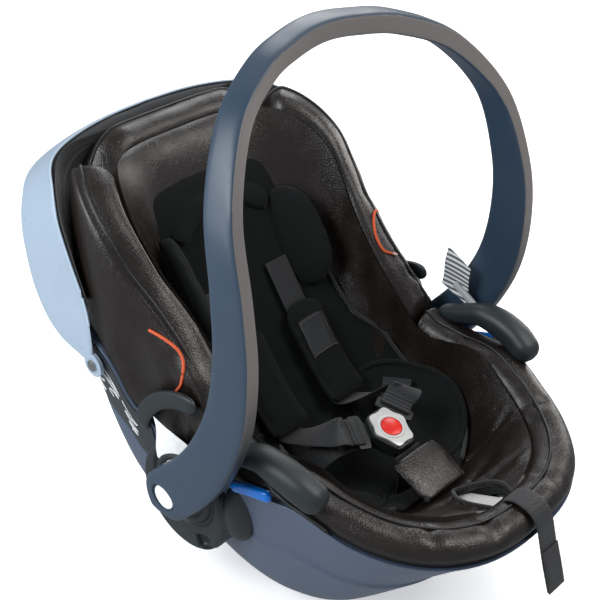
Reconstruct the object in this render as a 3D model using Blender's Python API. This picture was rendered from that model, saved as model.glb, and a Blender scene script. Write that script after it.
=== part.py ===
"""Infant car seat: a rear-facing carrier shell with a swinging carry handle.

Metres, +Z up. X is across the seat, +Y is the head end, -Y the foot end, and the origin is on the
surface the seat stands on, midway between its feet. Every sub-part is one named object; a moving
piece has its origin on its joint.
"""
import math

import bmesh
import bpy
from mathutils import Matrix, Vector

for leftover in list(bpy.data.objects):
    bpy.data.objects.remove(leftover, do_unlink=True)

# ---------------------------------------------------------------- driving dimensions
GAP = 0.0004                 # clearance between touching pieces
FOOT_END = -0.304            # shell rim, foot end
HEAD_END = 0.290             # shell rim, head end
PLAN_CENTRE = -0.020         # where the shell's plan is split into its foot and head halves
FOOT_POWER = 2.6             # squareness of the plan's superellipse, foot and head halves
HEAD_POWER = 4.0
SHELL_WALL = 0.0035
SHELL_BOTTOM = 0.008         # the feet hold the shell this far off the ground
CREASE_SHARE = 0.60          # height of the crease round the shell, as a share of the rim's
COVER = 0.010                # thickness of the padded cover
FOAM = 0.018
ROLL = 0.046                 # how far the padded roll reaches in from the shell's rim

PIVOT = Vector((0.0, 0.020, 0.140))          # the handle's axis runs along X through here
HANDLE_THICK = 0.0260
HUB_FACE = 0.1915
HUB_RADIUS = 0.066
HUB_CENTRE = Vector((0.0, 0.022, 0.118))
VISOR_PIVOT = Vector((0.0, 0.161, 0.226))
VISOR_WALL = 0.0035

BUCKLE = Vector((0.0, -0.107, 0.190))        # centre of the buckle's front plate
BUCKLE_TILT = math.radians(16)               # its foot edge is the lower one

# Each table gives (y, value) and is read with a smooth curve through its points.
HALF_WIDTH = [(-0.31, 0.184), (-0.12, 0.187), (-0.02, 0.182), (0.04, 0.176), (0.09, 0.180),
              (0.13, 0.190), (0.16, 0.195), (0.20, 0.194), (0.29, 0.180)]
SHELL_RIM = [(-0.31, 0.176), (-0.24, 0.180), (-0.19, 0.189), (-0.14, 0.205), (-0.08, 0.193),
             (-0.02, 0.178), (0.06, 0.174), (0.11, 0.192), (0.145, 0.240), (0.19, 0.264),
             (0.24, 0.318), (0.29, 0.378)]
CREST = [(-0.31, 0.203), (-0.24, 0.209), (-0.19, 0.219), (-0.14, 0.228), (-0.08, 0.222),
         (-0.03, 0.228), (0.03, 0.278), (0.08, 0.320), (0.12, 0.354), (0.16, 0.394),
         (0.21, 0.424), (0.25, 0.434), (0.29, 0.431)]
CENTRE_FLOOR = [(-0.27, 0.190), (-0.25, 0.180), (-0.215, 0.158), (-0.18, 0.138), (-0.14, 0.119),
                (-0.10, 0.106), (-0.05, 0.098), (-0.01, 0.108), (0.03, 0.142), (0.07, 0.184),
                (0.12, 0.240), (0.17, 0.300), (0.22, 0.368), (0.25, 0.402)]

# ---------------------------------------------------------------- collections and materials
PARTS = bpy.data.collections.new("infant_car_seat")
CUTTERS = bpy.data.collections.new("cutters")
bpy.context.scene.collection.children.link(PARTS)
bpy.context.scene.collection.children.link(CUTTERS)

FINISHES = {
    "shell_blue": ((0.20, 0.25, 0.32), 0.45, 0.0),
    "shell_dark": ((0.06, 0.065, 0.075), 0.55, 0.0),
    "visor_blue": ((0.36, 0.45, 0.55), 0.38, 0.0),
    "handle_blue": ((0.13, 0.17, 0.24), 0.42, 0.0),
    "charcoal": ((0.07, 0.085, 0.095), 0.5, 0.0),
    "marker_blue": ((0.0, 0.12, 0.55), 0.18, 0.0),
    "badge_white": ((0.85, 0.85, 0.83), 0.35, 0.0),
    "foam_black": ((0.03, 0.03, 0.03), 0.95, 0.0),
    "leatherette": ((0.035, 0.026, 0.022), 0.42, 0.0),
    "knit_black": ((0.012, 0.013, 0.013), 0.95, 0.0),
    "webbing": ((0.018, 0.02, 0.021), 0.8, 0.0),
    "plate_silver": ((0.72, 0.71, 0.69), 0.35, 0.1),
    "button_red": ((0.85, 0.02, 0.01), 0.3, 0.0),
    "plastic_black": ((0.015, 0.015, 0.016), 0.45, 0.0),
    "plate_pale": ((0.62, 0.68, 0.74), 0.35, 0.0),
    "steel": ((0.55, 0.56, 0.57), 0.3, 1.0),
    "acetal": ((0.8, 0.8, 0.78), 0.5, 0.0),
    "rubber": ((0.02, 0.02, 0.02), 0.85, 0.0),
    "canopy_cloth": ((0.01, 0.01, 0.012), 0.9, 0.0),
}


def material(finish, node):
    """One Principled material for each sub-part."""
    colour, roughness, metallic = FINISHES[finish]
    made = bpy.data.materials.new(node + "_" + finish)
    made.use_nodes = True
    shader = made.node_tree.nodes["Principled BSDF"]
    shader.inputs["Base Color"].default_value = (*colour, 1.0)
    shader.inputs["Roughness"].default_value = roughness
    shader.inputs["Metallic"].default_value = metallic
    return made


# ---------------------------------------------------------------- shaping helpers
def read_table(table, at):
    """Smooth (Catmull-Rom) reading of a table of (position, value)."""
    if at <= table[0][0]:
        return table[0][1]
    if at >= table[-1][0]:
        return table[-1][1]
    i = max(k for k in range(len(table) - 1) if table[k][0] <= at)
    (x0, v0), (x1, v1) = table[i], table[i + 1]
    before = table[max(i - 1, 0)]
    after = table[min(i + 2, len(table) - 1)]
    slope0 = (v1 - before[1]) / (x1 - before[0])
    slope1 = (after[1] - v0) / (after[0] - x0)
    t = (at - x0) / (x1 - x0)
    h = x1 - x0
    return ((2 * t**3 - 3 * t**2 + 1) * v0 + (t**3 - 2 * t**2 + t) * h * slope0
            + (-2 * t**3 + 3 * t**2) * v1 + (t**3 - t**2) * h * slope1)


def smooth_path(points, per_span):
    """A Catmull-Rom path through hand-chosen points (tuples of any length)."""
    points = [Vector(p) for p in points]
    padded = [2 * points[0] - points[1], *points, 2 * points[-1] - points[-2]]
    path = []
    for i in range(1, len(padded) - 2):
        p0, p1, p2, p3 = padded[i - 1:i + 3]
        for k in range(per_span):
            t = k / per_span
            path.append(0.5 * (2 * p1 + (p2 - p0) * t + (2 * p0 - 5 * p1 + 4 * p2 - p3) * t**2
                               + (3 * p1 - p0 - 3 * p2 + p3) * t**3))
    path.append(points[-1])
    return path


def add_object(node, mesh, finish, collection=PARTS, origin=None):
    """Link a mesh as a named object, its origin moved to a joint where it has one."""
    placed = bpy.data.objects.new(node, mesh)
    collection.objects.link(placed)
    if finish:
        mesh.materials.append(material(finish, node))
        mesh.shade_smooth()
        mesh.set_sharp_from_angle(angle=math.radians(40))
    if origin is not None:
        mesh.transform(Matrix.Translation(-Vector(origin)))
        placed.location = origin
    return placed


def mesh_from(work, name):
    bmesh.ops.recalc_face_normals(work, faces=work.faces)
    mesh = bpy.data.meshes.new(name)
    work.to_mesh(mesh)
    work.free()
    return mesh


def skin_between(work, row, following):
    """Triangles between two equal rings, every diagonal the same way so offsets agree."""
    for k in range(len(row)):
        n = (k + 1) % len(row)
        work.faces.new((row[k], row[n], following[k]))
        work.faces.new((row[n], following[n], following[k]))


def loft(node, rings, finish, closed=False, collection=PARTS, origin=None):
    """Skin a run of equal rings, capped at both ends or closed on itself."""
    work = bmesh.new()
    rows = [[work.verts.new(p) for p in ring] for ring in rings]
    pairs = list(zip(rows, rows[1:]))
    if closed:
        pairs.append((rows[-1], rows[0]))
    for row, following in pairs:
        skin_between(work, row, following)
    if not closed:
        work.faces.new(rows[0])
        work.faces.new(rows[-1][::-1])
    return add_object(node, mesh_from(work, node), finish, collection, origin)


def bowl(node, outer, inner, finish, collection=PARTS):
    """A bowl-shaped solid between two rows-of-rings surfaces, each from its pole to the rim."""
    work = bmesh.new()
    edges = []
    for rings in (outer, inner):
        pole = sum((Vector(p) for p in rings[0]), Vector()) / len(rings[0])
        rows = [[work.verts.new(p) for p in ring] for ring in rings]
        centre = work.verts.new(pole)
        for k in range(len(rows[0])):
            work.faces.new((centre, rows[0][k], rows[0][(k + 1) % len(rows[0])]))
        for row, following in zip(rows, rows[1:]):
            skin_between(work, row, following)
        edges.append(rows[-1])
    skin_between(work, edges[1], edges[0])
    return add_object(node, mesh_from(work, node), finish, collection)


def box(node, size, matrix, finish, bevel=0.0, segments=2, collection=PARTS, origin=None):
    work = bmesh.new()
    bmesh.ops.create_cube(work, size=1.0, matrix=Matrix.Diagonal((*size, 1.0)))
    if bevel:
        bmesh.ops.bevel(work, geom=list(work.edges), offset=bevel, segments=segments,
                        profile=0.5, affect='EDGES')
    bmesh.ops.transform(work, matrix=matrix, verts=work.verts)
    return add_object(node, mesh_from(work, node), finish, collection, origin)


def drum(node, radius, x0, x1, centre, finish, bevel=0.0, sides=32, collection=PARTS,
         origin=None, segments=2):
    """A cylinder along X from x0 to x1, centred on centre's y and z."""
    work = bmesh.new()
    turn = Matrix.Rotation(math.pi / 2, 4, 'Y')
    bmesh.ops.create_cone(work, cap_ends=True, segments=sides, radius1=radius, radius2=radius,
                          depth=abs(x1 - x0))
    if bevel:
        rims = [e for e in work.edges if abs(e.verts[0].co.z - e.verts[1].co.z) < 1e-9]
        bmesh.ops.bevel(work, geom=rims, offset=bevel, segments=segments, profile=0.5,
                        affect='EDGES')
    move = Matrix.Translation(((x0 + x1) / 2, centre.y, centre.z))
    bmesh.ops.transform(work, matrix=move @ turn, verts=work.verts)
    return add_object(node, mesh_from(work, node), finish, collection, origin)


def hide_cutter(cutter):
    cutter.hide_render = True
    cutter.display_type = 'WIRE'
    return cutter


def combine(target, tool, operation):
    """Boolean the target with a tool kept in the cutters collection."""
    step = target.modifiers.new(operation.lower() + "_" + tool.name, 'BOOLEAN')
    step.operation = operation
    step.solver = 'EXACT'
    step.object = hide_cutter(tool)


def strap(node, points, across, width, thickness, finish="webbing", per_span=3):
    """Flat webbing along a path; across is the direction of its width, or one for each point."""
    acrosses = across if isinstance(across, list) else [across] * len(points)
    path = smooth_path([(*p, *a) for p, a in zip(points, acrosses)], per_span)
    middles = [Vector(station[:3]) for station in path]
    rings = []
    for k, point in enumerate(middles):
        tangent = (middles[min(k + 1, len(path) - 1)] - middles[max(k - 1, 0)]).normalized()
        side = Vector(path[k][3:])
        side = (side - tangent * side.dot(tangent)).normalized() * width / 2
        up = tangent.cross(side).normalized() * thickness / 2
        rings.append([point - side - up, point + side - up, point + side + up,
                      point - side + up])
    return loft(node, rings, finish)


def coil(node, radius, wire, start, end, turns, finish="steel", per_turn=9):
    """A compression spring of round wire between two points."""
    start, end = Vector(start), Vector(end)
    axis = (end - start).normalized()
    side = axis.orthogonal().normalized()
    other = axis.cross(side)
    curve = bpy.data.curves.new(node, 'CURVE')
    curve.dimensions = '3D'
    curve.bevel_depth = wire
    curve.bevel_resolution = 0
    curve.use_fill_caps = True
    spline = curve.splines.new('POLY')
    count = int(turns * per_turn) + 1
    spline.points.add(count - 1)
    for k in range(count):
        angle = 2 * math.pi * k / per_turn
        place = start + (end - start) * k / (count - 1)
        place = place + side * radius * math.cos(angle) + other * radius * math.sin(angle)
        spline.points[k].co = (*place, 1.0)
    placed = bpy.data.objects.new(node, curve)
    PARTS.objects.link(placed)
    curve.materials.append(material(finish, node))
    return placed


# ---------------------------------------------------------------- the shell's surfaces
def plan_point(angle, inset=0.0):
    """The shell's rim seen from above, moved in by inset."""
    c, s = math.cos(angle), math.sin(angle)
    reach = (HEAD_END - PLAN_CENTRE) if s > 0 else (PLAN_CENTRE - FOOT_END)
    power = HEAD_POWER if s > 0 else FOOT_POWER
    y = math.copysign(abs(s)**(2 / power), s)
    x = math.copysign(abs(c)**(2 / power), c)
    half = read_table(HALF_WIDTH, PLAN_CENTRE + reach * y)
    return Vector(((half - inset) * x, PLAN_CENTRE + (reach - inset) * y, 0.0))


def rim_y(angle):
    return plan_point(angle).y


def foam_rim(y):
    return max(read_table(CREST, y) - 0.028, read_table(SHELL_RIM, y) + 0.008)


def shell_rings(angles, inset, drop, shares):
    """Rings of the outer shell from its flat bottom up to the rim."""
    rings = []
    for share in shares:
        ring = []
        for angle in angles:
            foot = max(0.0, -math.sin(angle))**2
            head = max(0.0, math.sin(angle))**2
            base = 0.59 - 0.24 * foot - 0.08 * head
            scale = base + (1 - base) * share**(0.36 + 0.50 * foot + 0.20 * head)
            if share < CREASE_SHARE:
                scale += 0.012 * min(1.0, share / 0.15)
            rim = plan_point(angle, inset)
            top = read_table(SHELL_RIM, rim_y(angle)) - drop
            ring.append(Vector((rim.x * scale, PLAN_CENTRE + (rim.y - PLAN_CENTRE) * scale,
                                SHELL_BOTTOM + inset + (top - SHELL_BOTTOM - inset) * share)))
        rings.append(ring)
    return rings


def lining_rings(angles, offset, shares):
    """Rings of the seat's inner surface, moved out and down by offset."""
    rings = []
    for share in shares:
        ring = []
        for angle in angles:
            rim = plan_point(angle, ROLL - offset)
            point = Vector((rim.x * share, PLAN_CENTRE + (rim.y - PLAN_CENTRE) * share, 0.0))
            wall = share**5
            floor = read_table(CENTRE_FLOOR, point.y) - offset * (1 - wall)
            point.z = (1 - wall) * floor + wall * foam_rim(rim_y(angle))
            ring.append(point)
        rings.append(ring)
    return rings


def lining_height(x, y):
    """Height of the seat's inner surface over a point of the plan."""
    half = read_table(HALF_WIDTH, y) - ROLL
    reach = (HEAD_END - PLAN_CENTRE if y > PLAN_CENTRE else PLAN_CENTRE - FOOT_END) - ROLL
    power = HEAD_POWER if y > PLAN_CENTRE else FOOT_POWER
    share = abs(x / half)**power + abs((y - PLAN_CENTRE) / reach)**power
    share = min(1.0, share**(1 / power))
    wall = share**5
    rim = PLAN_CENTRE + (y - PLAN_CENTRE) / max(share, 0.3)
    rim = max(FOOT_END, min(HEAD_END, rim))
    return (1 - wall) * read_table(CENTRE_FLOOR, y) + wall * foam_rim(rim)


def even_angles(count):
    """Plan angles spaced evenly along the rim, symmetric about the seat's length."""
    fine = 720
    angles = [-math.pi / 2 + math.pi * k / fine for k in range(fine + 1)]
    travel = [0.0]
    for before, after in zip(angles, angles[1:]):
        step = rim_point(after) - rim_point(before)
        travel.append(travel[-1] + step.length)
    half = []
    for k in range(count // 2 + 1):
        target = travel[-1] * k / (count // 2)
        near = min(range(fine + 1), key=lambda i: abs(travel[i] - target))
        half.append(angles[near])
    return half + [math.pi - a for a in half[-2:0:-1]]


def rim_point(angle):
    place = plan_point(angle)
    place.z = read_table(CREST, place.y)
    return place


def turn(count):
    return [2 * math.pi * k / count for k in range(count)]


RIM_ANGLES = even_angles(40)
SHELL_SHARES = (0.0, 0.04, 0.12, 0.25, 0.42, 0.599, 0.60, 0.80, 1.0)


def hub_envelope():
    """The shell's outside as a closed cutter, a little larger, to seat the hubs against."""
    rings = shell_rings(RIM_ANGLES, -GAP, -0.0012, SHELL_SHARES)
    rings.append([point + Vector((0, 0, 0.050)) for point in rings[-1]])
    return loft("shell_envelope", rings, None, collection=CUTTERS)


def make_shell():
    outer = shell_rings(RIM_ANGLES, 0.0, 0.0, SHELL_SHARES)
    inner = shell_rings(RIM_ANGLES, SHELL_WALL, 0.0, SHELL_SHARES)
    shell = bowl("outer_shell", outer, inner, "shell_blue")
    slot = box("shell_strap_slot", (0.040, 0.010, 0.04),
               Matrix.Translation((0, -0.02, SHELL_BOTTOM)), None, collection=CUTTERS)
    combine(shell, slot, 'DIFFERENCE')
    return shell


LINING_SHARES = (0.20, 0.42, 0.62, 0.80, 0.91, 1.0)


def make_lining():
    cover = bowl("seat_cover", lining_rings(RIM_ANGLES, COVER, LINING_SHARES),
                 lining_rings(RIM_ANGLES, 0.0, LINING_SHARES), "leatherette")
    foam = bowl("foam_liner", lining_rings(RIM_ANGLES, COVER + GAP + FOAM, LINING_SHARES),
                lining_rings(RIM_ANGLES, COVER + GAP, LINING_SHARES), "foam_black")
    well = box("adjuster_well", (0.036, 0.074, 0.16), Matrix.Translation((0, -0.236, 0.19)),
               None, collection=CUTTERS)
    crotch = box("crotch_slot", (0.046, 0.012, 0.12), Matrix.Translation((0, -0.138, 0.12)),
                 None, collection=CUTTERS)
    for piece in (cover, foam):
        combine(piece, well, 'DIFFERENCE')
        combine(piece, crotch, 'DIFFERENCE')
    bowl("lining_envelope", lining_rings(RIM_ANGLES, 0.040, LINING_SHARES),
         lining_rings(RIM_ANGLES, -GAP, LINING_SHARES), None, CUTTERS)


# ---------------------------------------------------------------- the padded rim
def roll_section(angle):
    """Section of the padded roll at one angle of the plan, from its outer foot round."""
    y = rim_y(angle)
    crest = read_table(CREST, y)
    rim = read_table(SHELL_RIM, y) + 0.0020
    foam = foam_rim(y) + 0.0042
    high = crest - foam
    skin = 0.0125
    profile = [(0.0020, rim), (0.0000, rim + 0.35 * (crest - rim)),
               (0.0020, crest - 0.40 * high), (0.0090, crest - 0.08 * high), (0.0190, crest),
               (0.0300, crest - 0.10 * high), (0.0380, crest - 0.42 * high),
               (ROLL - 0.001, foam), (0.0350, foam), (skin, foam), (skin, rim)]
    ring = []
    for inset, z in profile:
        place = plan_point(angle, inset)
        ring.append(Vector((place.x, place.y, z)))
    return ring


def angle_at(y, side):
    """The plan angle, on one side, whose rim point has this y."""
    low, high = (math.pi / 2, 3 * math.pi / 2) if side < 0 else (math.pi / 2, -math.pi / 2)
    for _ in range(40):
        middle = (low + high) / 2
        if rim_y(middle) > y:
            low = middle
        else:
            high = middle
    return (low + high) / 2


def drawn_in(end, following):
    """Two rings closing a roll's end, on the straight run towards its next section."""
    rings = []
    for share, size in ((0.05, 0.80), (0.16, 0.95)):
        ring = [a.lerp(b, share) for a, b in zip(end, following)]
        middle = sum(ring, Vector()) / len(ring)
        rings.append([middle + (point - middle) * size for point in ring])
    return rings


def roll(node, stations):
    """A length of the padded roll through these plan angles."""
    sections = [roll_section(angle) for angle in stations]
    rings = drawn_in(sections[0], sections[1]) + sections[1:-1]
    rings += drawn_in(sections[-1], sections[-2])[::-1]
    return loft(node, rings, "leatherette")


def make_rolls():
    """Foot rim, two wings and head, parted where the wings begin and end."""
    right = RIM_ANGLES[:len(RIM_ANGLES) // 2 + 1]
    foot, head = (min(range(len(right)), key=lambda k: abs(rim_y(right[k]) - y))
                  for y in (-0.020, 0.238))
    around = RIM_ANGLES + [angle + 2 * math.pi for angle in RIM_ANGLES]
    count = len(RIM_ANGLES)
    roll("wing_cushion_right", around[foot:head + 1])
    roll("head_cushion", around[head:count - head + 1])
    roll("wing_cushion_left", around[count - head:count - foot + 1])
    roll("foot_rim", around[count - foot:count + foot + 1])


# ---------------------------------------------------------------- handle, hubs and their lock
def rounded_section(centre, wide, thick, half_width, half_thick, count=12):
    """A ring shaped as a superellipse, squarer than an oval."""
    ring = []
    for angle in turn(count):
        c, s = math.cos(angle), math.sin(angle)
        ring.append(centre + wide * half_width * math.copysign(abs(c)**0.70, c)
                    + thick * half_thick * math.copysign(abs(s)**0.70, s))
    return ring


def handle_path():
    """Centreline and section of the arch: (x, y, z, width, thickness), left pivot to right."""
    side = [(-0.2080, PIVOT.y, PIVOT.z, 0.062, HANDLE_THICK),
            (-0.2120, -0.017, 0.184, 0.059, 0.0240),
            (-0.2150, -0.052, 0.240, 0.055, 0.0215),
            (-0.2160, -0.076, 0.305, 0.052, 0.0190),
            (-0.2145, -0.081, 0.375, 0.048, 0.0180),
            (-0.2105, -0.070, 0.440, 0.043, 0.0165),
            (-0.1960, -0.043, 0.512, 0.035, 0.0170),
            (-0.1510, -0.008, 0.569, 0.030, 0.0195),
            (-0.0940, 0.018, 0.5945, 0.029, 0.0210),
            (-0.0450, 0.031, 0.603, 0.0295, 0.0212),
            (0.0, 0.035, 0.607, 0.030, 0.0212)]
    mirrored = [(-x, y, z, w, t) for x, y, z, w, t in side[-2::-1]]
    return smooth_path(side + mirrored, 2)


def handle_rings():
    path = handle_path()
    rings = []
    for k, station in enumerate(path):
        before, after = path[max(k - 1, 0)], path[min(k + 1, len(path) - 1)]
        tangent = Vector(after[:3]) - Vector(before[:3])
        tangent.normalize()
        outward = Vector((-tangent.z, 0.0, tangent.x))
        outward = (outward - tangent * outward.dot(tangent)).normalized()
        wide = tangent.cross(outward).normalized()
        rings.append((Vector(station[:3]), wide, outward, tangent, station[3], station[4]))
    sections = []
    for reach in (0.99, 0.90, 0.70, 0.38):
        place, wide, outward, tangent, width, thick = rings[0]
        sections.append(rounded_section(place - tangent * width / 2 * reach, wide, outward,
                                        width / 2 * math.sqrt(1 - reach**2) + 0.001,
                                        thick / 2))
    for place, wide, outward, tangent, width, thick in rings:
        sections.append(rounded_section(place, wide, outward, width / 2, thick / 2))
    for reach in (0.38, 0.70, 0.90, 0.99):
        place, wide, outward, tangent, width, thick = rings[-1]
        sections.append(rounded_section(place + tangent * width / 2 * reach, wide, outward,
                                        width / 2 * math.sqrt(1 - reach**2) + 0.001,
                                        thick / 2))
    return sections


BUSH_RADIUS = 0.0258
BUSH_BORE = 0.0232
GEAR_RADIUS = 0.0226
BOSS_RADIUS = 0.0295
SOCKET_FLOOR = 0.1745        # bottom of the hub's socket
BOSS_FLOOR = 0.2005          # bottom of the handle boss's socket
BUTTON_SEAT = 0.2093         # bottom of the button's recess in the handle
BUTTON_FACE = 0.2188
BUTTON_RADIUS = 0.0145
STEM_RADIUS = 0.0042
GEAR_INNER = 0.1868
GEAR_OUTER = 0.1966


def make_handle():
    arch = loft("handle_arch", handle_rings(), "handle_blue", origin=PIVOT)
    for side, name in ((-1, "left"), (1, "right")):
        cuts = (("socket", BUSH_RADIUS + 0.0004, 0.185, BOSS_FLOOR),
                ("recess", BUTTON_RADIUS + 0.0006, BUTTON_SEAT, 0.235),
                ("stem_hole", STEM_RADIUS + 0.0005, BOSS_FLOOR - 0.002, BUTTON_SEAT + 0.002))
        for cut, radius, x0, x1 in cuts:
            tool = drum("handle_" + cut + "_" + name, radius, side * x0, side * x1, PIVOT,
                        None, sides=28, collection=CUTTERS)
            combine(arch, tool, 'DIFFERENCE')


def make_hub(side, name, envelope):
    hub = drum("hub_" + name, HUB_RADIUS, side * 0.120, side * HUB_FACE, HUB_CENTRE,
               "charcoal", bevel=0.006, sides=32)
    knuckle = bmesh.new()
    bmesh.ops.create_uvsphere(knuckle, u_segments=14, v_segments=8, radius=1.0)
    stretch = Matrix.Translation((side * 0.1700, -0.052, 0.142)) @ Matrix.Diagonal(
        (0.0215, 0.020, 0.044, 1.0))
    bmesh.ops.transform(knuckle, matrix=stretch, verts=knuckle.verts)
    bump = add_object("hub_knuckle_" + name, mesh_from(knuckle, "hub_knuckle_" + name), None,
                      CUTTERS)
    combine(hub, bump, 'UNION')
    combine(hub, envelope, 'DIFFERENCE')
    boss = drum("hub_boss_" + name, BOSS_RADIUS, side * 0.1700, side * 0.1880, PIVOT, None,
                sides=28, collection=CUTTERS)
    combine(hub, boss, 'UNION')
    window = drum("hub_window_" + name, BOSS_RADIUS + 0.0006, side * 0.150, side * 0.230,
                  PIVOT, None, sides=28, collection=CUTTERS)
    combine(bpy.data.objects["outer_shell"], window, 'DIFFERENCE')
    socket = drum("hub_socket_" + name, BUSH_RADIUS + 0.0004, side * SOCKET_FLOOR,
                  side * 0.200, PIVOT, None, sides=28, collection=CUTTERS)
    combine(hub, socket, 'DIFFERENCE')


def ring_about_x(node, outer, bore, x0, x1, centre, finish, sides=22):
    """A plain ring along X."""
    rings = []
    for radius, x in ((bore, x0), (outer, x0), (outer, x1), (bore, x1)):
        rings.append([Vector((x, centre.y + radius * math.cos(a), centre.z + radius
                              * math.sin(a))) for a in turn(sides)])
    return loft(node, rings, finish, closed=True)


def make_lock(side, name):
    """What sits on the pivot: bush, sliding lock gear, its spring and the push button."""
    ring_about_x("pivot_bush_" + name, BUSH_RADIUS, BUSH_BORE, side * 0.1790, side * 0.1998,
                 PIVOT, "acetal")
    teeth = 12
    outline = []
    for angle in turn(teeth):
        for step, radius in ((0.0, GEAR_RADIUS - 0.0028), (0.30, GEAR_RADIUS - 0.0028),
                             (0.45, GEAR_RADIUS), (0.85, GEAR_RADIUS)):
            at = angle + step * 2 * math.pi / teeth
            outline.append((PIVOT.y + radius * math.cos(at), PIVOT.z + radius * math.sin(at)))
    rings = [[Vector((side * x, y, z)) for y, z in outline] for x in (GEAR_INNER, GEAR_OUTER)]
    loft("lock_gear_" + name, rings, "steel", origin=Vector((side * GEAR_INNER, *PIVOT.yz)))
    coil("lock_spring_" + name, 0.0125, 0.0011, (side * (SOCKET_FLOOR + 0.0013), *PIVOT.yz),
         (side * (GEAR_INNER - 0.0013), *PIVOT.yz), 3)
    button = drum("handle_button_" + name, BUTTON_RADIUS, side * (BUTTON_FACE - 0.0038),
                  side * BUTTON_FACE, PIVOT, "badge_white", bevel=0.0008, sides=22, segments=1,
                  origin=Vector((side * BUTTON_FACE, *PIVOT.yz)))
    stem = drum("button_stem_" + name, STEM_RADIUS, side * (GEAR_OUTER + GAP),
                side * (BUTTON_FACE - 0.002), PIVOT, None, sides=12, collection=CUTTERS)
    combine(button, stem, 'UNION')


# ---------------------------------------------------------------- belt guides and trim
def make_belt_fittings(side, name):
    path = smooth_path([(0.1790, -0.038, 0.2420, 0.0110, 0.0080),
                        (0.1800, -0.072, 0.2400, 0.0125, 0.0105),
                        (0.1810, -0.104, 0.2430, 0.0150, 0.0140),
                        (0.1795, -0.137, 0.2460, 0.0162, 0.0162),
                        (0.1730, -0.162, 0.2430, 0.0155, 0.0155)], 2)
    rings = []
    for k, station in enumerate(path):
        tangent = Vector(path[min(k + 1, len(path) - 1)][:3]) - Vector(path[max(k - 1, 0)][:3])
        tangent.normalize()
        up = (Vector((0, 0, 1)) - tangent * tangent.z).normalized()
        rings.append([Vector(station[:3]), tangent, tangent.cross(up), up, station[3],
                      station[4]])
    first, last = rings[0], rings[-1]
    rings.insert(0, [first[0] - first[1] * 0.007, *first[1:4], first[4] * 0.6, first[5] * 0.6])
    rings.append([last[0] + last[1] * 0.009, *last[1:4], last[4] * 0.85, last[5] * 0.85])
    rings.append([last[0] + last[1] * 0.014, *last[1:4], last[4] * 0.45, last[5] * 0.45])
    sections = [rounded_section(Vector((side * p.x, p.y, p.z)),
                                Vector((side * across.x, across.y, across.z)),
                                Vector((side * up.x, up.y, up.z)), wide, high, 12)
                for p, _, across, up, wide, high in rings]
    loft("belt_guide_" + name, sections, "charcoal")
    marker = smooth_path([(0.1880, -0.062, 0.1960), (0.1893, -0.085, 0.2045),
                          (0.1895, -0.108, 0.2120), (0.1875, -0.128, 0.2190)], 3)
    rings = []
    for k, point in enumerate(marker):
        tangent = (marker[min(k + 1, len(marker) - 1)] - marker[max(k - 1, 0)]).normalized()
        up = Vector((0, 0, 1))
        up = (up - tangent * up.dot(tangent)).normalized()
        high = 0.0052 if 0 < k < len(marker) - 1 else 0.0035
        rings.append(rounded_section(Vector((side * (point.x + 0.0028), point.y, point.z)),
                                     Vector((side, 0, 0)), up, 0.0040, high, 10))
    loft("belt_marker_" + name, rings, "marker_blue")
    arch = smooth_path([(0.1862, 0.090, 0.176), (0.1866, 0.086, 0.198), (0.1862, 0.066, 0.226),
                        (0.1862, 0.035, 0.246), (0.1866, 0.004, 0.254)], 3)
    rings = []
    for k, point in enumerate(arch):
        tangent = (arch[min(k + 1, len(arch) - 1)] - arch[max(k - 1, 0)]).normalized()
        out = Vector((1, 0, 0))
        out = (out - tangent * out.dot(tangent)).normalized()
        across = tangent.cross(out)
        rings.append(rounded_section(
            Vector((side * point.x, point.y, point.z)),
            Vector((side * across.x, across.y, across.z)),
            Vector((side * out.x, out.y, out.z)), 0.0105, 0.0038, 10))
    loft("belt_arch_" + name, rings, "charcoal")


# ---------------------------------------------------------------- canopy visor
VISOR_PROFILE = [(0.000, 0.1980), (0.060, 0.1980), (0.110, 0.1970), (0.150, 0.1940),
                 (0.178, 0.1890), (0.202, 0.1790), (0.220, 0.1640), (0.233, 0.1400),
                 (0.243, 0.1020), (0.249, 0.0550), (0.251, 0.0000)]
VISOR_TOP = [(0.013, 88), (0.065, 84), (0.110, 76), (0.150, 71), (0.200, 67), (0.233, 59),
             (0.251, 56)]
VISOR_FOOT = [(0.013, 0), (0.065, 8), (0.110, 24), (0.150, 37), (0.200, 46), (0.233, 46),
              (0.251, 45)]


def visor_point(radius, x, degrees):
    angle = math.radians(degrees)
    return Vector((x, VISOR_PIVOT.y + radius * math.cos(angle),
                   VISOR_PIVOT.z + radius * math.sin(angle)))


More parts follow.
